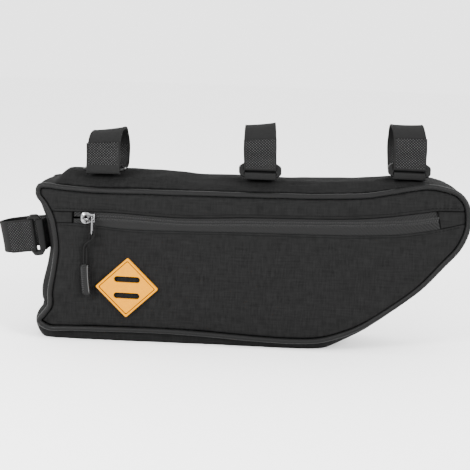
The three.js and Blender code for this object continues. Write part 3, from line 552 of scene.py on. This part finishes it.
front_folds = [
    (-142, 0, 58, 0.03, 0.0, 1.0, 46, 12, 1.6), (-119, 0, 62, 0.1, 0.0, 1.0, 42, 11, -2.4),
    (-158, 0, 24, 1.0, 0.0, 0.75, 12, 3.0, 1.3), (-160, 0, 17, 1.0, 0.0, 0.3, 10, 4, -1.6),
    (-152, 0, 60, 0.15, 0.0, 1.0, 24, 5, -0.7), (118, 0, 127, 1.0, 0.0, 0.8, 14, 4, 0.9),
    (132, 0, 128, 1.0, 0.0, 1.2, 12, 3.5, -0.8), (146, 0, 127, 1.0, 0.0, -0.9, 12, 4, 0.8),
    (-118, 0, 114, 1.0, 0.0, -0.1, 22, 3, 0.5), (60, 0, 116, 1.0, 0.0, 0.1, 40, 3, 0.5),
]


def seam_loop(share, inset):
    """The seam line moved inward: share 0 is the front seam and 1 the back one."""
    return seam + normal * (back * share - inset)[:, None]


seam_trees = []
for share in (0, 1):
    loop = seam_loop(share, 0)
    fine = np.vstack([loop + (np.roll(loop, -1, 0) - loop) * t for t in np.arange(10) / 10])
    tree = kdtree.KDTree(len(fine))
    for k, point in enumerate(fine):
        tree.insert((point[0], point[1], 0), k)
    tree.balance()
    seam_trees.append(tree)


def tuck(x, z, share):
    """How far a panel dives behind the piping at its seam, less the roll of cloth beside it."""
    gap = [seam_trees[share].find((a, b, 0))[2] for a, b in zip(np.ravel(x), np.ravel(z))]
    gap = np.maximum(np.array(gap).reshape(np.shape(x)) - INSET, 0)
    return 2.9 * np.exp(-((gap / 1.15) ** 2)) - 0.6 * (1 - np.exp(-gap / 2.5))


def front_face(x, z):
    """Depth of the front panel's face: puffed up, drawn in at its foot, wavy and folded."""
    spot = np.stack([x, np.zeros_like(x), z], -1)
    low = np.clip((34 - z) / 30, 0, 1) ** 2 * 1.6
    soft = 0.5 * cloudy(spot, 60, 3) + 0.14 * cloudy(spot, 18, 6)
    return -FACE - relief(x, z) + low - soft - folds(spot, front_folds) + tuck(x, z, 0)


def back_face(x, z):
    spot = np.stack([x, np.zeros_like(x), z], -1)
    return FACE + relief(x, z) + 0.6 * cloudy(spot, 55, 11) + 0.15 * cloudy(spot, 16, 12) - tuck(x, z, 1)


def inside(points, loop):
    """Which points lie within a closed loop."""
    a, b = loop, np.roll(loop, -1, 0)
    x, y = points[:, :1], points[:, 1:]
    cross = (a[:, 1] > y) != (b[:, 1] > y)
    at = (b[:, 0] - a[:, 0]) * (y - a[:, 1]) / np.where(b[:, 1] == a[:, 1], 1e-9, b[:, 1] - a[:, 1]) + a[:, 0]
    return (cross & (x < at)).sum(1) % 2 == 1


def clear_of(others, points, distance):
    """The points that lie farther than distance from all the others."""
    nearest = np.array([np.linalg.norm(others - p, axis=1).min() for p in points])
    return points[nearest > distance]


def flat_cloth(name, loop, face, step, paint, *nodes, rows_inside=()):
    """A cloth panel of any outline: face(x, z) gives its depth, its edge is rolled back."""
    thick, roll = 1.5, 0.7
    low, high = loop.min(0), loop.max(0)
    gx, gz = np.meshgrid(np.arange(low[0], high[0], step), np.arange(low[1], high[1], step * 0.87))
    gx[1::2] += step / 2
    grid = np.c_[gx.ravel(), gz.ravel()]
    grid = grid[inside(grid, loop)]
    for near in rows_inside:
        grid = clear_of(near, grid, step * 0.5)
    extra = [near[inside(near, loop)] for near in rows_inside]
    grid = clear_of(loop, np.vstack([clear_of(loop, grid, step * 0.6), *extra]), 0.3)
    given = np.vstack([loop, grid])
    rim = list(range(len(loop)))
    edges = [(k, (k + 1) % len(rim)) for k in rim]
    flat, _, faces, origin, _, _ = delaunay_2d_cdt([Vector(p) for p in given.tolist()], edges, [rim], 1, 1e-6)
    flat = np.array([tuple(p) for p in flat])
    faces = [list(f) for f in faces]
    side = -1 if face(np.array([0.0]), np.array([60.0]))[0] < 0 else 1
    depth = face(flat[:, 0], flat[:, 1])
    points = np.c_[flat[:, 0], depth, flat[:, 1]]
    where = {}
    for index, sources in enumerate(origin):
        for source in sources:
            where[source] = index
    uvs = [(flat[k][0], flat[k][1]) for f in faces for k in f]
    rows = [points]
    ids = [where[k] for k in rim]
    edge = flat[ids]
    way = np.roll(edge, -1, 0) - np.roll(edge, 1, 0)
    way /= np.maximum(np.linalg.norm(way, axis=1), 1e-9)[:, None]
    area = (edge[:, 0] * np.roll(edge[:, 1], -1) - np.roll(edge[:, 0], -1) * edge[:, 1]).sum()
    out = np.c_[way[:, 1], -way[:, 0]] * (1 if area > 0 else -1)
    last = ids
    for spread, sink in ((roll * 0.7, roll * 0.3), (roll, roll), (roll, thick)):
        start = sum(len(r) for r in rows)
        wider = edge + out * spread
        rows.append(np.c_[wider[:, 0], depth[ids] - side * sink, wider[:, 1]])
        new = list(range(start, start + len(ids)))
        for k in range(len(ids)):
            n = (k + 1) % len(ids)
            faces.append([last[k], last[n], new[n], new[k]])
            uvs += [tuple(edge[k]), tuple(edge[n]), tuple(wider[n]), tuple(wider[k])]
        last = new
    return piece(name, np.vstack(rows), faces, uvs, paint, *nodes)


def cut_loop(loop, edge, keep_above, margin):
    """The part of a closed loop on one side of a zip edge, closed along that edge."""
    level = edge(loop[:, 0])
    kept = loop[:, 1] > level + margin if keep_above else loop[:, 1] < level - margin
    first = next(k for k in range(len(loop)) if kept[k] and not kept[k - 1])
    run = np.array([loop[(first + k) % len(loop)] for k in range(len(loop)) if kept[(first + k) % len(loop)]])
    xs = np.linspace(run[-1][0], run[0][0], 160)
    return np.vstack([run, np.c_[xs, edge(xs)]])


front_loop = seam_loop(0, INSET)
seam_rows = [seam_loop(0, d) for d in (1.9, 2.3, 2.7, 3.2, 3.9)]
for half, opening, above_zip in (("upper", zip_top, True), ("lower", zip_bottom, False)):
    loop = cut_loop(front_loop, opening, above_zip, 0.8)
    names = f"panel_front_{half}", f"front_panel_{half}"
    flat_cloth(names[0], loop, front_face, 2.2, packcloth, names[1], rows_inside=seam_rows)
back_rows = [seam_loop(1, d) for d in (2.0, 2.6, 3.3)]
flat_cloth("panel_back", seam_loop(1, INSET), back_face, 3.2, packcloth, "back_panel", rows_inside=back_rows)

# Zip: woven tape with a nylon coil down its middle. It is closed, with the slider at the left
# end, and only the short bit of tape to the left of the slider lies open in a dark slit.
tape_paint = Paint("zip_tape", "zip_tape", grey(0.011), 0.75, 0.08)
u, v = tape_paint.weave_uv()
twill = ((u * 2.8).sin() * (v * 2.6 + u * 0.7).sin()).between(-0.2, 0.6)
tone = twill * 0.8 + tape_paint.noise(900, 3.0) * 0.2
tape_paint.set("Base Color", tape_paint.mix(tone, grey(0.0008), grey(0.0155)))
tape_paint.bump(twill, 0.6, 0.2)
tape_x = np.r_[np.linspace(-150, -144, 4), np.linspace(-143.5, -136, 16), np.linspace(-134, 162, 150)]
slit = 0.75 * np.clip((-136.2 - tape_x) / 3, 0, 1) ** 0.5 + 0.05


def end_line(z):
    """Where the right end tab begins: its fold runs down to the right."""
    return 146.2 - 0.24 * (z - zip_top(147))


def tape_half(inner_edge, outer_edge):
    """One half of the tape, from the coil to under the panel's cloth, with its underside."""
    share = np.r_[0, 0.03, np.linspace(0.1, 1, 18)]
    z = inner_edge[:, None] + (outer_edge - inner_edge)[:, None] * share
    x = np.tile(tape_x[:, None], (1, len(share)))
    deep = 0.95 + 0.5 * np.clip((z - zip_coil(x)) / 5, -0.6, 1)
    ends = np.clip((-141.2 - x) / 1.7, 0, 1) ** 2 + np.clip((x - end_line(z)) / 1.7, 0, 1) ** 2
    folded = 1.5 * np.exp(-(((zip_top(x) - z) / 0.9) ** 2))
    folded += 0.8 * np.exp(-(((z - zip_bottom(x)) / 0.7) ** 2))
    puckers = 0.25 * np.sin(x * 2 * math.pi / 9) * np.clip((x - 60) / 20, 0, 1) * (z > zip_coil(x))
    y = front_face(x, z) + deep + folded + puckers + 2.4 * ends
    y[:, 0] += 0.3
    top = np.stack([x, y, z], 2)
    under = top[:, ::-1].copy()
    under[..., 1] += 0.7
    return np.concatenate([top, under], 1)


upper_half = tape_half(zip_coil(tape_x) + slit, zip_top(tape_x) + 3.5)
lower_half = tape_half(zip_coil(tape_x) - slit, zip_bottom(tape_x) - 3.5)
skins("tape_of_zip", [upper_half, lower_half], tape_paint, "zipper_tape")


def beads(name, centres, ways, length, radius, paint, *nodes, sides=7):
    """Small rounded bars in one mesh: teeth of a coil or stitches of a seam."""
    shape = [(-0.5, 0.35), (-0.36, 0.85), (0.0, 1.0), (0.36, 0.85), (0.5, 0.35)]
    angle = np.arange(sides) * 2 * math.pi / sides
    grids = []
    for centre, way in zip(centres, ways):
        way = way / np.linalg.norm(way)
        up = np.cross(way, (0, 1, 0))
        up /= np.linalg.norm(up)
        out = np.cross(way, up)
        round_way = [math.cos(a) * up + math.sin(a) * out for a in angle]
        rows = [[centre + way * length * s + radius * r * w for w in round_way] for s, r in shape]
        grids.append(np.array(rows))
    return skins(name, grids, paint, *nodes)


coil_paint = Paint("zip_coil", "zip_coil", grey(0.008), 0.38, 0.15)
coil_x = np.arange(-123.8, 147.6, 1.35)
coil_y = front_face(coil_x, zip_coil(coil_x)) + 0.85
centres = np.vstack([np.c_[coil_x + 0.34 * s, coil_y, zip_coil(coil_x) + 1.15 * s] for s in (1, -1)])
ways = [(0.22 * s, 0, 1) for s in (1, -1) for _ in coil_x]
beads("coil_of_zip", centres, np.array(ways, float), 2.4, 0.56, coil_paint, "zipper_chain")

# End tabs of the zip: short folded patches of the same cloth sewn over both ends of the tape.
# The right one is cut on a slant and runs into the piping.


def tab_face(x, z):
    """The end tabs lie a little behind the face of the panel beside them."""
    return front_face(x, z) + 0.35


def beside_seam(low, high, left):
    """Places on the seam's inner side between two heights, from the lowest up."""
    kept = front_loop[(front_loop[:, 1] > low) & (front_loop[:, 1] < high) & ((front_loop[:, 0] < 0) == left)]
    return kept[np.argsort(kept[:, 1])]


def tab_paint(name, top, low, side, way):
    """Coated nylon with painted shade: black lines in the creases along a tab's top, its foot and its inner
    edge.

    top and low hold a slope and the height at x 0, side holds a slope and the x at height 0.
    """
    paint = packcloth_paint(name)
    u, v = paint.weave_uv()
    colour = Val(paint, paint.shader.inputs["Base Color"].links[0].from_socket)
    heights = [u * slope + level for slope, level in (top, low)]
    flat = (heights[0] - v).between(0.1, 1.1) * (v - heights[1]).between(0.1, 0.9)
    flat = flat * ((u - (side[1] + v * side[0])) * way).between(0.0, 0.7)
    # Painted shade: black outside the tab's flat middle, along its top, foot and inner edge.
    paint.set("Base Color", paint.mix(flat, grey(0.0005), colour))
    return paint


left_paint = tab_paint("coated_nylon_left_tab", (0.028, 111.3), (0.046, 104.6), (0.0, -143.2), -1)
right_paint = tab_paint("coated_nylon_right_tab", (0.022, 116.5), (0.25, 67.9), (-0.24, 175.7), 1)
xs = np.linspace(-159.0, -143.4, 12)
seam_end = beside_seam(zip_bottom(-157) - 0.3, zip_top(-160) + 0.3, True)
inner_end = np.c_[np.full(10, -143.1), np.linspace(zip_top(-142) + 0.4, zip_bottom(-142) - 0.4, 10)]
back_xs = xs[:0:-1]
over, under = np.c_[xs, zip_top(xs) + 0.9], np.c_[back_xs, zip_bottom(back_xs) - 0.9]
left_tab = np.vstack([seam_end, over, inner_end, under])
flat_cloth("tab_left", left_tab, tab_face, 1.6, left_paint, "zip_end_tab_left")
xs = np.linspace(147.0, 168.6, 14)
seam_end = beside_seam(zip_bottom(169) - 0.3, zip_top(168) + 0.3, False)[::-1]
inner_end = np.linspace((151.0, zip_bottom(150) - 0.4), (147.4, zip_top(147) + 0.4), 8)
back_xs = xs[:1:-1]
over, under = np.c_[xs, zip_top(xs) + 0.9], np.c_[back_xs, zip_bottom(back_xs) - 0.9]
right_tab = np.vstack([over, seam_end, under, inner_end])
flat_cloth("tab_right", right_tab, tab_face, 1.8, right_paint, "zip_end_tab_right")

# Topstitching: black polyester thread, three millimetres a stitch, sunk into the cloth along both
# edges of the zip opening and over the end tabs.
# The thread is its own black, made darker than the cloth with painted shade of its stitch holes.
thread = Paint("black_thread", "packcloth", grey(0.0025), 0.7, 0.05)
rows = []
for edge, step in ((zip_top, 1.5), (zip_bottom, -1.0)):
    xs = np.linspace(-158, 167, 600)
    rows.append(np.c_[xs, edge(xs) + step])
centres, ways = [], []
for row in rows:
    line = np.c_[row[:, 0], front_face(row[:, 0], row[:, 1]) - 0.08, row[:, 1]]
    run = np.r_[0, np.cumsum(np.linalg.norm(np.diff(line, axis=0), axis=1))]
    for at in np.arange(1.5, run[-1] - 1, 3.0):
        before, here, after = (np.array([np.interp(d, run, c) for c in line.T]) for d in (at - 1, at, at + 1))
        centres.append(here)
        ways.append(after - before)
beads("topstitching", np.array(centres), np.array(ways), 1.9, 0.32, thread, sides=6)

# Lash tab: a tan diamond moulded in one piece with sharp corners, a raised rim, a thin groove
# inside the rim and two slots for a light or a cord. It is fixed flat to the panel.
tan = Paint("tan_leather", "tan_leather", (0.43, 0.167, 0.0), 0.6, 0.0)
tan.set("Base Color", tan.mix(tan.noise(420, 4.0), (0.39, 0.148, 0.0), (0.47, 0.186, 0.0)))
tan.bump(tan.noise(1800, 3.0), 0.25, 0.15)
# Painted shade: the groove inside the rim takes a dark brown for the shadow in it.
tan_groove_shade = Paint("tan_groove_shade", "tan_leather", (0.15, 0.042, 0.0), 0.7, 0.0)
TAB_AT = np.array((-97.98, -33.0, 47.3))
TAB_LEAN = math.radians(-0.6)
TAB_SIDE, TAB_THICKNESS, SLOT_UP = 36.49, 2.1, 6.7


def diamond(size, corner):
    """Outline of the tab: a square on its corner, a little lower than wide."""
    size *= 0.985
    loop = rounded(size, size, corner, 4)
    c = math.sqrt(0.5)
    turned = np.c_[loop[:, 0] - loop[:, 1], (loop[:, 0] + loop[:, 1]) * 49.8 / 51.6] * c
    steps = np.arange(4)[:, None] / 4
    return np.vstack([a + (b - a) * steps for a, b in zip(turned, np.roll(turned, -1, 0))])


def slot(up, grow=0.0):
    """Outline of one slot, this far up from the middle of the tab."""
    return rounded(21.0 + grow, 4.9 + grow, (4.9 + grow) / 2 - 0.01, 6) + (0, up)


def lean(points):
    """Places on the tab turned by its slight lean."""
    c, s = math.cos(TAB_LEAN), math.sin(TAB_LEAN)
    return np.c_[points[:, 0] * c - points[:, 1] * s, points[:, 0] * s + points[:, 1] * c]


levels = [
    # side of the square, height
    (TAB_SIDE, 0.0), (TAB_SIDE, TAB_THICKNESS), (36.2, 2.45), (35.8, 2.6), (33.5, 2.6),
    (33.15, 2.45), (32.9, 1.5), (32.3, 1.45), (31.95, 1.95), (31.6, TAB_THICKNESS),
]
outlines = [lean(diamond(s, 1.2 * s / TAB_SIDE)) for s, _ in levels]
frame_grid = stack(outlines, [h for _, h in levels], *TAB_AT)
field_loop = outlines[-1]
slots = [lean(slot(SLOT_UP, 0.5)), lean(slot(-SLOT_UP, 0.5))]
inner_pts = np.array([(x, z) for x in np.arange(-22, 22.1, 2.2) for z in np.arange(-22, 22.1, 2.2)])
inner_pts = inner_pts[inside(inner_pts, field_loop * 0.96)]
for s in slots:
    inner_pts = clear_of(s, inner_pts, 0.8)
rims = [field_loop, *slots]
starts = np.cumsum([0] + [len(r) for r in rims])
ids = [list(range(starts[k], starts[k + 1])) for k in range(3)]
edges = [(r[k], r[(k + 1) % len(r)]) for r in ids for k in range(len(r))]
given = [Vector(p) for p in np.vstack([*rims, inner_pts]).tolist()]
flat, _, tri, _, _, _ = delaunay_2d_cdt(given, edges, [ids[0]], 1, 1e-6)
flat = np.array([tuple(p) for p in flat])
tri = [list(f) for f in tri if not any(inside(flat[list(f)].mean(0)[None], s)[0] for s in slots)]
faces, uvs = skin_faces(frame_grid, False, False)
points = [frame_grid.reshape(-1, 3)]
first = len(points[0])
field_y = np.full(len(flat), TAB_AT[1] - TAB_THICKNESS)
points.append(np.c_[TAB_AT[0] + flat[:, 0], field_y, TAB_AT[2] + flat[:, 1]])
faces += [[first + k for k in f] for f in tri]
uvs += [tuple(flat[k]) for f in tri for k in f]
for up in (SLOT_UP, -SLOT_UP):
    wall = stack([lean(slot(up, g)) for g in (0.5, 0.12, 0.0, 0.0)], [TAB_THICKNESS, 2.0, 1.7, 0.0], *TAB_AT)
    base = sum(len(p) for p in points)
    more, more_uvs = skin_faces(wall, False, False, base)
    faces += more
    uvs += more_uvs
    points.append(wall.reshape(-1, 3))
lash = piece("lash_diamond", np.vstack(points), faces, uvs, tan, "lash_tab")
# The groove's faces take the dark brown of the painted shade.
lash.data.materials.append(tan_groove_shade.material)
around = frame_grid.shape[1]
for k in range(5 * around, 8 * around):
    lash.data.polygons[k].material_index = 1

# Strap loops: 25 mm hook-and-loop webbing, sewn to the gusset at one end. Each goes up round a
# frame tube, down through a plastic ring and back up over itself, where its rough side grips.
# The ring hangs in a short tab of the same webbing that is sewn to the gusset too.
webbing = Paint("webbing_plain", "webbing", grey(0.01), 0.8, 0.05)
u, v = webbing.weave_uv()
rib = (u * (math.pi / 0.85)).sin().size()
cross = (v * (math.pi / 1.1) + (u * (math.pi / 0.85)).sin() * 0.6).sin().size()
uneven = webbing.noise(700, 3.0)
tone = rib * 0.3 + cross * 0.3 + uneven * 0.5
webbing.set("Base Color", webbing.mix(tone, grey(0.0025), grey(0.0098)))
webbing.bump(rib * 0.5 + cross * 0.5 + uneven * 0.4, 0.7, 0.25)

hook_side = Paint("webbing_hooks", "webbing", grey(0.012), 0.8, 0.05)
u, v = hook_side.weave_uv()
uneven = hook_side.noise(1100, 2.0) - 0.5
dots = (u * 3.0 + uneven * 1.6).sin() * (v * 2.73 + uneven * 1.6).sin()
pile = (dots + uneven * 0.5).between(0.05, 0.75)
hook_side.set("Base Color", hook_side.mix(pile, grey(0.0018), grey(0.04)))
hook_side.bump(pile, 0.8, 0.5)

STRAP_DEPTH, WIDE, THICK, TAB_THICK, CLEAR = 43.0, 26.3, 1.7, 1.3, 0.4
RING_BAR, RING_THICK, RING_LIFT, RING_LONG, RING_TALL = 2.6, 2.6, 1.0, 33.6, 11.8


def ring_bars(at, lean):
    """Where a ring's bars are, as distance out and height: the tab's bar, then the strap's."""
    out, height, reach = at * STRAP_DEPTH, RING_LIFT + RING_BAR / 2, RING_TALL - RING_BAR
    return (out, height), (out + reach * math.sin(lean), height + reach * math.cos(lean))


def strap_path(tall, out, bar, end, hang):
    """Side view of a strap from its sewn foot over the top, through the ring and back up."""
    half = THICK / 2
    side = RING_THICK / 2 + CLEAR + half
    below = RING_BAR / 2 + CLEAR + half
    foot = CLEAR + half
    corner = (CLEAR + half) * 0.72
    step = THICK + CLEAR + 0.1
    d, rise = STRAP_DEPTH, tall - bar
    near, far = -out + RING_THICK / 2, -out - RING_THICK / 2
    turn_height = bar - RING_BAR / 2 - corner - hang
    return [
        (0.05 * d, foot), (0.18 * d, foot), (0.33 * d, foot + 0.05 * tall), (0.45 * d, 0.27 * tall),
        (0.48 * d, 0.5 * tall), (0.43 * d, 0.74 * tall), (0.27 * d, 0.92 * tall), (0.02 * d, tall - half),
        (-0.24 * d, bar + 0.87 * rise), (-0.4 * d, bar + 0.64 * rise), (-0.425 * d, bar + 0.4 * rise),
        (-out + side * 0.25, bar + 4.6), (-out + side, bar + 1), (-out + side, bar - RING_BAR * 0.45),
        (near + corner, turn_height), (-out + RING_THICK * 0.45, bar - below - hang),
        (-out - RING_THICK * 0.45, bar - below - hang), (far - corner, turn_height),
        (-out - side, bar - RING_BAR * 0.45), (-out - side, bar + 1), (-out + side * 0.1 - step, bar + 4.8),
        (-0.425 * d - step, bar + 0.4 * rise), (-0.412 * d - step + 0.3, bar + end * rise),
    ]


def tab_path(out, bar, rise):
    """Side view of the webbing tab from its foot round the ring's lower bar and back."""
    half = TAB_THICK / 2
    side = RING_THICK / 2 + CLEAR + half
    below = RING_BAR / 2 + CLEAR + half
    corner = (CLEAR + half) * 0.72
    low, step, dip = CLEAR + half, TAB_THICK + CLEAR, 0.002 * out * out
    return [
        (-0.08 * out, low), (-0.4 * out, low), (-0.7 * out, low - dip),
        (-out + RING_THICK * 0.45, bar - below), (-out - RING_THICK * 0.45, bar - below),
        (-out - RING_THICK / 2 - corner, bar - RING_BAR / 2 - corner),
        (-out - side, bar), (-out - RING_THICK / 2 - corner, bar + RING_BAR / 2 + corner),
        (-out - RING_THICK * 0.45, bar + below), (-out + RING_THICK * 0.45, bar + below),
        (-out + side * 1.15, bar + below * 0.7 + rise), (-out + side * 1.6, bar + 0.5),
        (-0.56 * out, low - dip * 0.5 + step), (-0.4 * out, low + step), (-0.08 * out, low + step),
    ]


def ribbon(path, width, thick, per, wander=0.0, seed=0):
    """Webbing along a side view path: a flat band with thick rounded selvedges."""
    line = spline(path, per)
    way = np.gradient(line, axis=0)
    way /= np.linalg.norm(way, axis=1)[:, None]
    out = np.c_[-way[:, 1], way[:, 0]]
    half, t = width / 2, thick / 2
    top = [(-half + 0.15, 0.75 * t), (-half + 0.5, t), (-half + 1.5, 0.96 * t), (-half + 1.8, 0.84 * t)]
    top += [(x, 0.86 * t) for x in np.linspace(-half + 3, half - 3, 8)]
    top += [(half - 1.8, 0.84 * t), (half - 1.5, 0.96 * t), (half - 0.5, t), (half - 0.15, 0.75 * t)]
    section = np.array([(-half, 0.0), *top, (half, 0.0), *[(x, -h) for x, h in reversed(top)]])
    s = np.r_[0, np.cumsum(np.linalg.norm(np.diff(line, axis=0), axis=1))]
    rows = []
    for k in range(len(line)):
        sway = wander * noise.noise(Vector((s[k] / 14, seed, 0)))
        cup = 0.25 * wander * (section[:, 0] / half) ** 2
        lift = section[:, 1] + cup
        rows.append(np.c_[section[:, 0] + sway, line[k][0] + out[k][0] * lift, line[k][1] + out[k][1] * lift])
    return np.array(rows)


def ring_grid(lower, lean):
    """Rounded rectangular ring with cut corners, lying over by lean about its lower bar."""
    h, top, c = RING_LONG / 2 - 2.1, RING_TALL - RING_BAR, 1.9
    right = [(h - c, 0), (h, c), (h, top - c), (h - c, top)]
    corners = [(-h + c, 0), *right, (-h + c, top), (-h, top - c), (-h, c)]
    line = []
    for k, p in enumerate(np.array(corners)):
        q = np.array(corners[(k + 1) % 8])
        count = 14 if k in (0, 4) else 4
        line += [p + (q - p) * t for t in np.linspace(0.12, 0.88, count)]
    line = np.array(line)
    centre = np.c_[line[:, 0], np.zeros(len(line)), line[:, 1]]
    flat = sweep(centre, rounded(RING_BAR, RING_THICK, 0.75, 3), closed=True)
    ends = 1 + 0.85 * np.clip((abs(centre[:, :1]) - h + c) / c, 0, 1)
    flat[..., 0] = centre[:, :1] + (flat[..., 0] - centre[:, :1]) * ends
    x, w, v = flat[..., 0], flat[..., 1], flat[..., 2]
    s, t = math.sin(lean), math.cos(lean)
    return np.stack([x, -lower[0] - v * s + w * t, lower[1] + v * t + w * s], -1)


ring_plastic = Paint("ring_plastic", "black_plastic", grey(0.002), 0.25, 0.12)
ring_plastic.bump(ring_plastic.noise(1500), 0.06, 0.1)
strap_table = [
    # name, along or up, foot height, foot slope, tall, lean, twist, top slope, ring place and lean,
    # end of the strap, curled corner, hang of its fold below the ring's bar, share of its width
    ("left", -119.0, 138.80, -0.0113, 33.5, -2.2, 4, 0.11, 0.25, 94, 0.69, 1, 0.0, 1.04),
    ("middle", 5.64, 137.79, -0.0354, 43.43, -2.2, 0, 0.08, 0.395, 0, 0.64, 0, 1.5, 1.0),
    ("right", 124.49, 142.61, -0.0503, 42.57, -2.2, -1, -0.02, 0.395, 0, 0.68, -1, 1.6, 1.0),
    ("seat", 84.23, 168.55, 0.0302, 39.56, -97.2, -3, 0.08, 0.395, 0, 0.6, 0, 0.5, 1.0),
]
PER_KNOT = 8
for number, row in enumerate(strap_table):
    name, at, out, foot, tall, tilt, twist, top, ring_at, ring_lean, end, curl, hang, wide = row
    clear = RING_LIFT + RING_TALL + 1
    tilt, twist, ring_lean = math.radians(tilt), -math.radians(twist), math.radians(ring_lean)
    lower, upper = ring_bars(ring_at, ring_lean)

    def placed(grid):
        """A strap's own grid of width, depth, height brought to its place on the bag."""
        x, y, z = grid[..., 0], grid[..., 1], grid[..., 2]
        share = np.clip((z - clear) / (tall - clear), 0, 1)
        z = z + x * (foot * (1 - share) + top * share)
        x, y = x * math.cos(twist) - y * math.sin(twist), x * math.sin(twist) + y * math.cos(twist)
        x, z = x * math.cos(tilt) + z * math.sin(tilt), z * math.cos(tilt) - x * math.sin(tilt)
        where = (-out, 0, at) if name == "seat" else (at, 0, out)
        return np.stack([x + where[0], y, z + where[2]], -1)

    band = ribbon(strap_path(tall, *upper, end, hang), WIDE, THICK, PER_KNOT, 0.4, number)
    knot = np.arange(len(band))[:, None] / PER_KNOT
    corner = np.clip((band[..., 0] * curl - WIDE / 2 + 5) / 5, 0, 1) ** 2
    lip = corner * np.exp(-(((knot - 7.1) / 1.1) ** 2))
    crest = np.exp(-(((knot - 7) / 1.6) ** 2))
    band[..., 2] += 0.2 * lip - 0.5 * crest * (1 - (band[..., 0] / WIDE * 2) ** 2)
    band[..., 0] = band[..., 0] * (wide - 0.05 * crest) + 1.3 * lip * curl
    strap = skin(f"loop_{name}", placed(band), webbing, f"strap_{name}")
    strap.data.materials.append(hook_side.material)
    section = band.shape[1]
    for first, last in ((1, 4.3), (19.9 if name == "left" else 17.6, 22)):
        # in this stretch of the band, counted in knots, the outer side is the rough one
        for k in range(int(first * PER_KNOT), int(last * PER_KNOT)):
            for j in range(3, section // 2 - 4):
                strap.data.polygons[k * section + j].material_index = 1
    tab = ribbon(tab_path(*lower, max(hang - 0.5, 0) * 2.4), WIDE - 1, TAB_THICK, 6)
    skin(f"ringtab_{name}", placed(tab), webbing, f"strap_{name}_ring_tab")
    skin(f"ring_{name}", placed(ring_grid(lower, ring_lean)), ring_plastic, f"strap_{name}_ring", around=True)

# Stage: a pale floor, pale surroundings and two soft lamps. The small key lamp stands low at the left
# front, and the larger one higher up at the right front.
floor_mesh = bpy.data.meshes.new("floor")
corners = [(-6, -4, -0.0002), (6, -4, -0.0002), (6, 8, -0.0002), (-6, 8, -0.0002)]
floor_mesh.from_pydata(corners, [], [[0, 1, 2, 3]])
floor = bpy.data.objects.new("floor", floor_mesh)
bpy.context.scene.collection.objects.link(floor)
floor_paint = bpy.data.materials.new("floor_white")
floor_paint.use_nodes = True
floor_shader = floor_paint.node_tree.nodes["Principled BSDF"]
floor_shader.inputs["Base Color"].default_value = (0.96, 0.96, 0.96, 1)
floor_shader.inputs["Roughness"].default_value = 0.9
floor_mesh.materials.append(floor_paint)
world = bpy.data.worlds.new("studio")
bpy.context.scene.world = world
world.use_nodes = True
world.node_tree.nodes["Background"].inputs["Color"].default_value = (1, 1, 1, 1)
world.node_tree.nodes["Background"].inputs["Strength"].default_value = 2.9
lamps = (("key", (-0.75, -0.75, 0.5), 0.25, 22), ("fill", (1.3, -1.1, 0.95), 0.6, 60))
for name, place, width, power in lamps:
    lamp = bpy.data.lights.new(name, "AREA")
    lamp.size = width
    lamp.energy = power
    light = bpy.data.objects.new(name, lamp)
    bpy.context.scene.collection.objects.link(light)
    light.location = place
    light.rotation_euler = (Vector((0, 0, 0.08)) - Vector(place)).to_track_quat("-Z", "Y").to_euler()
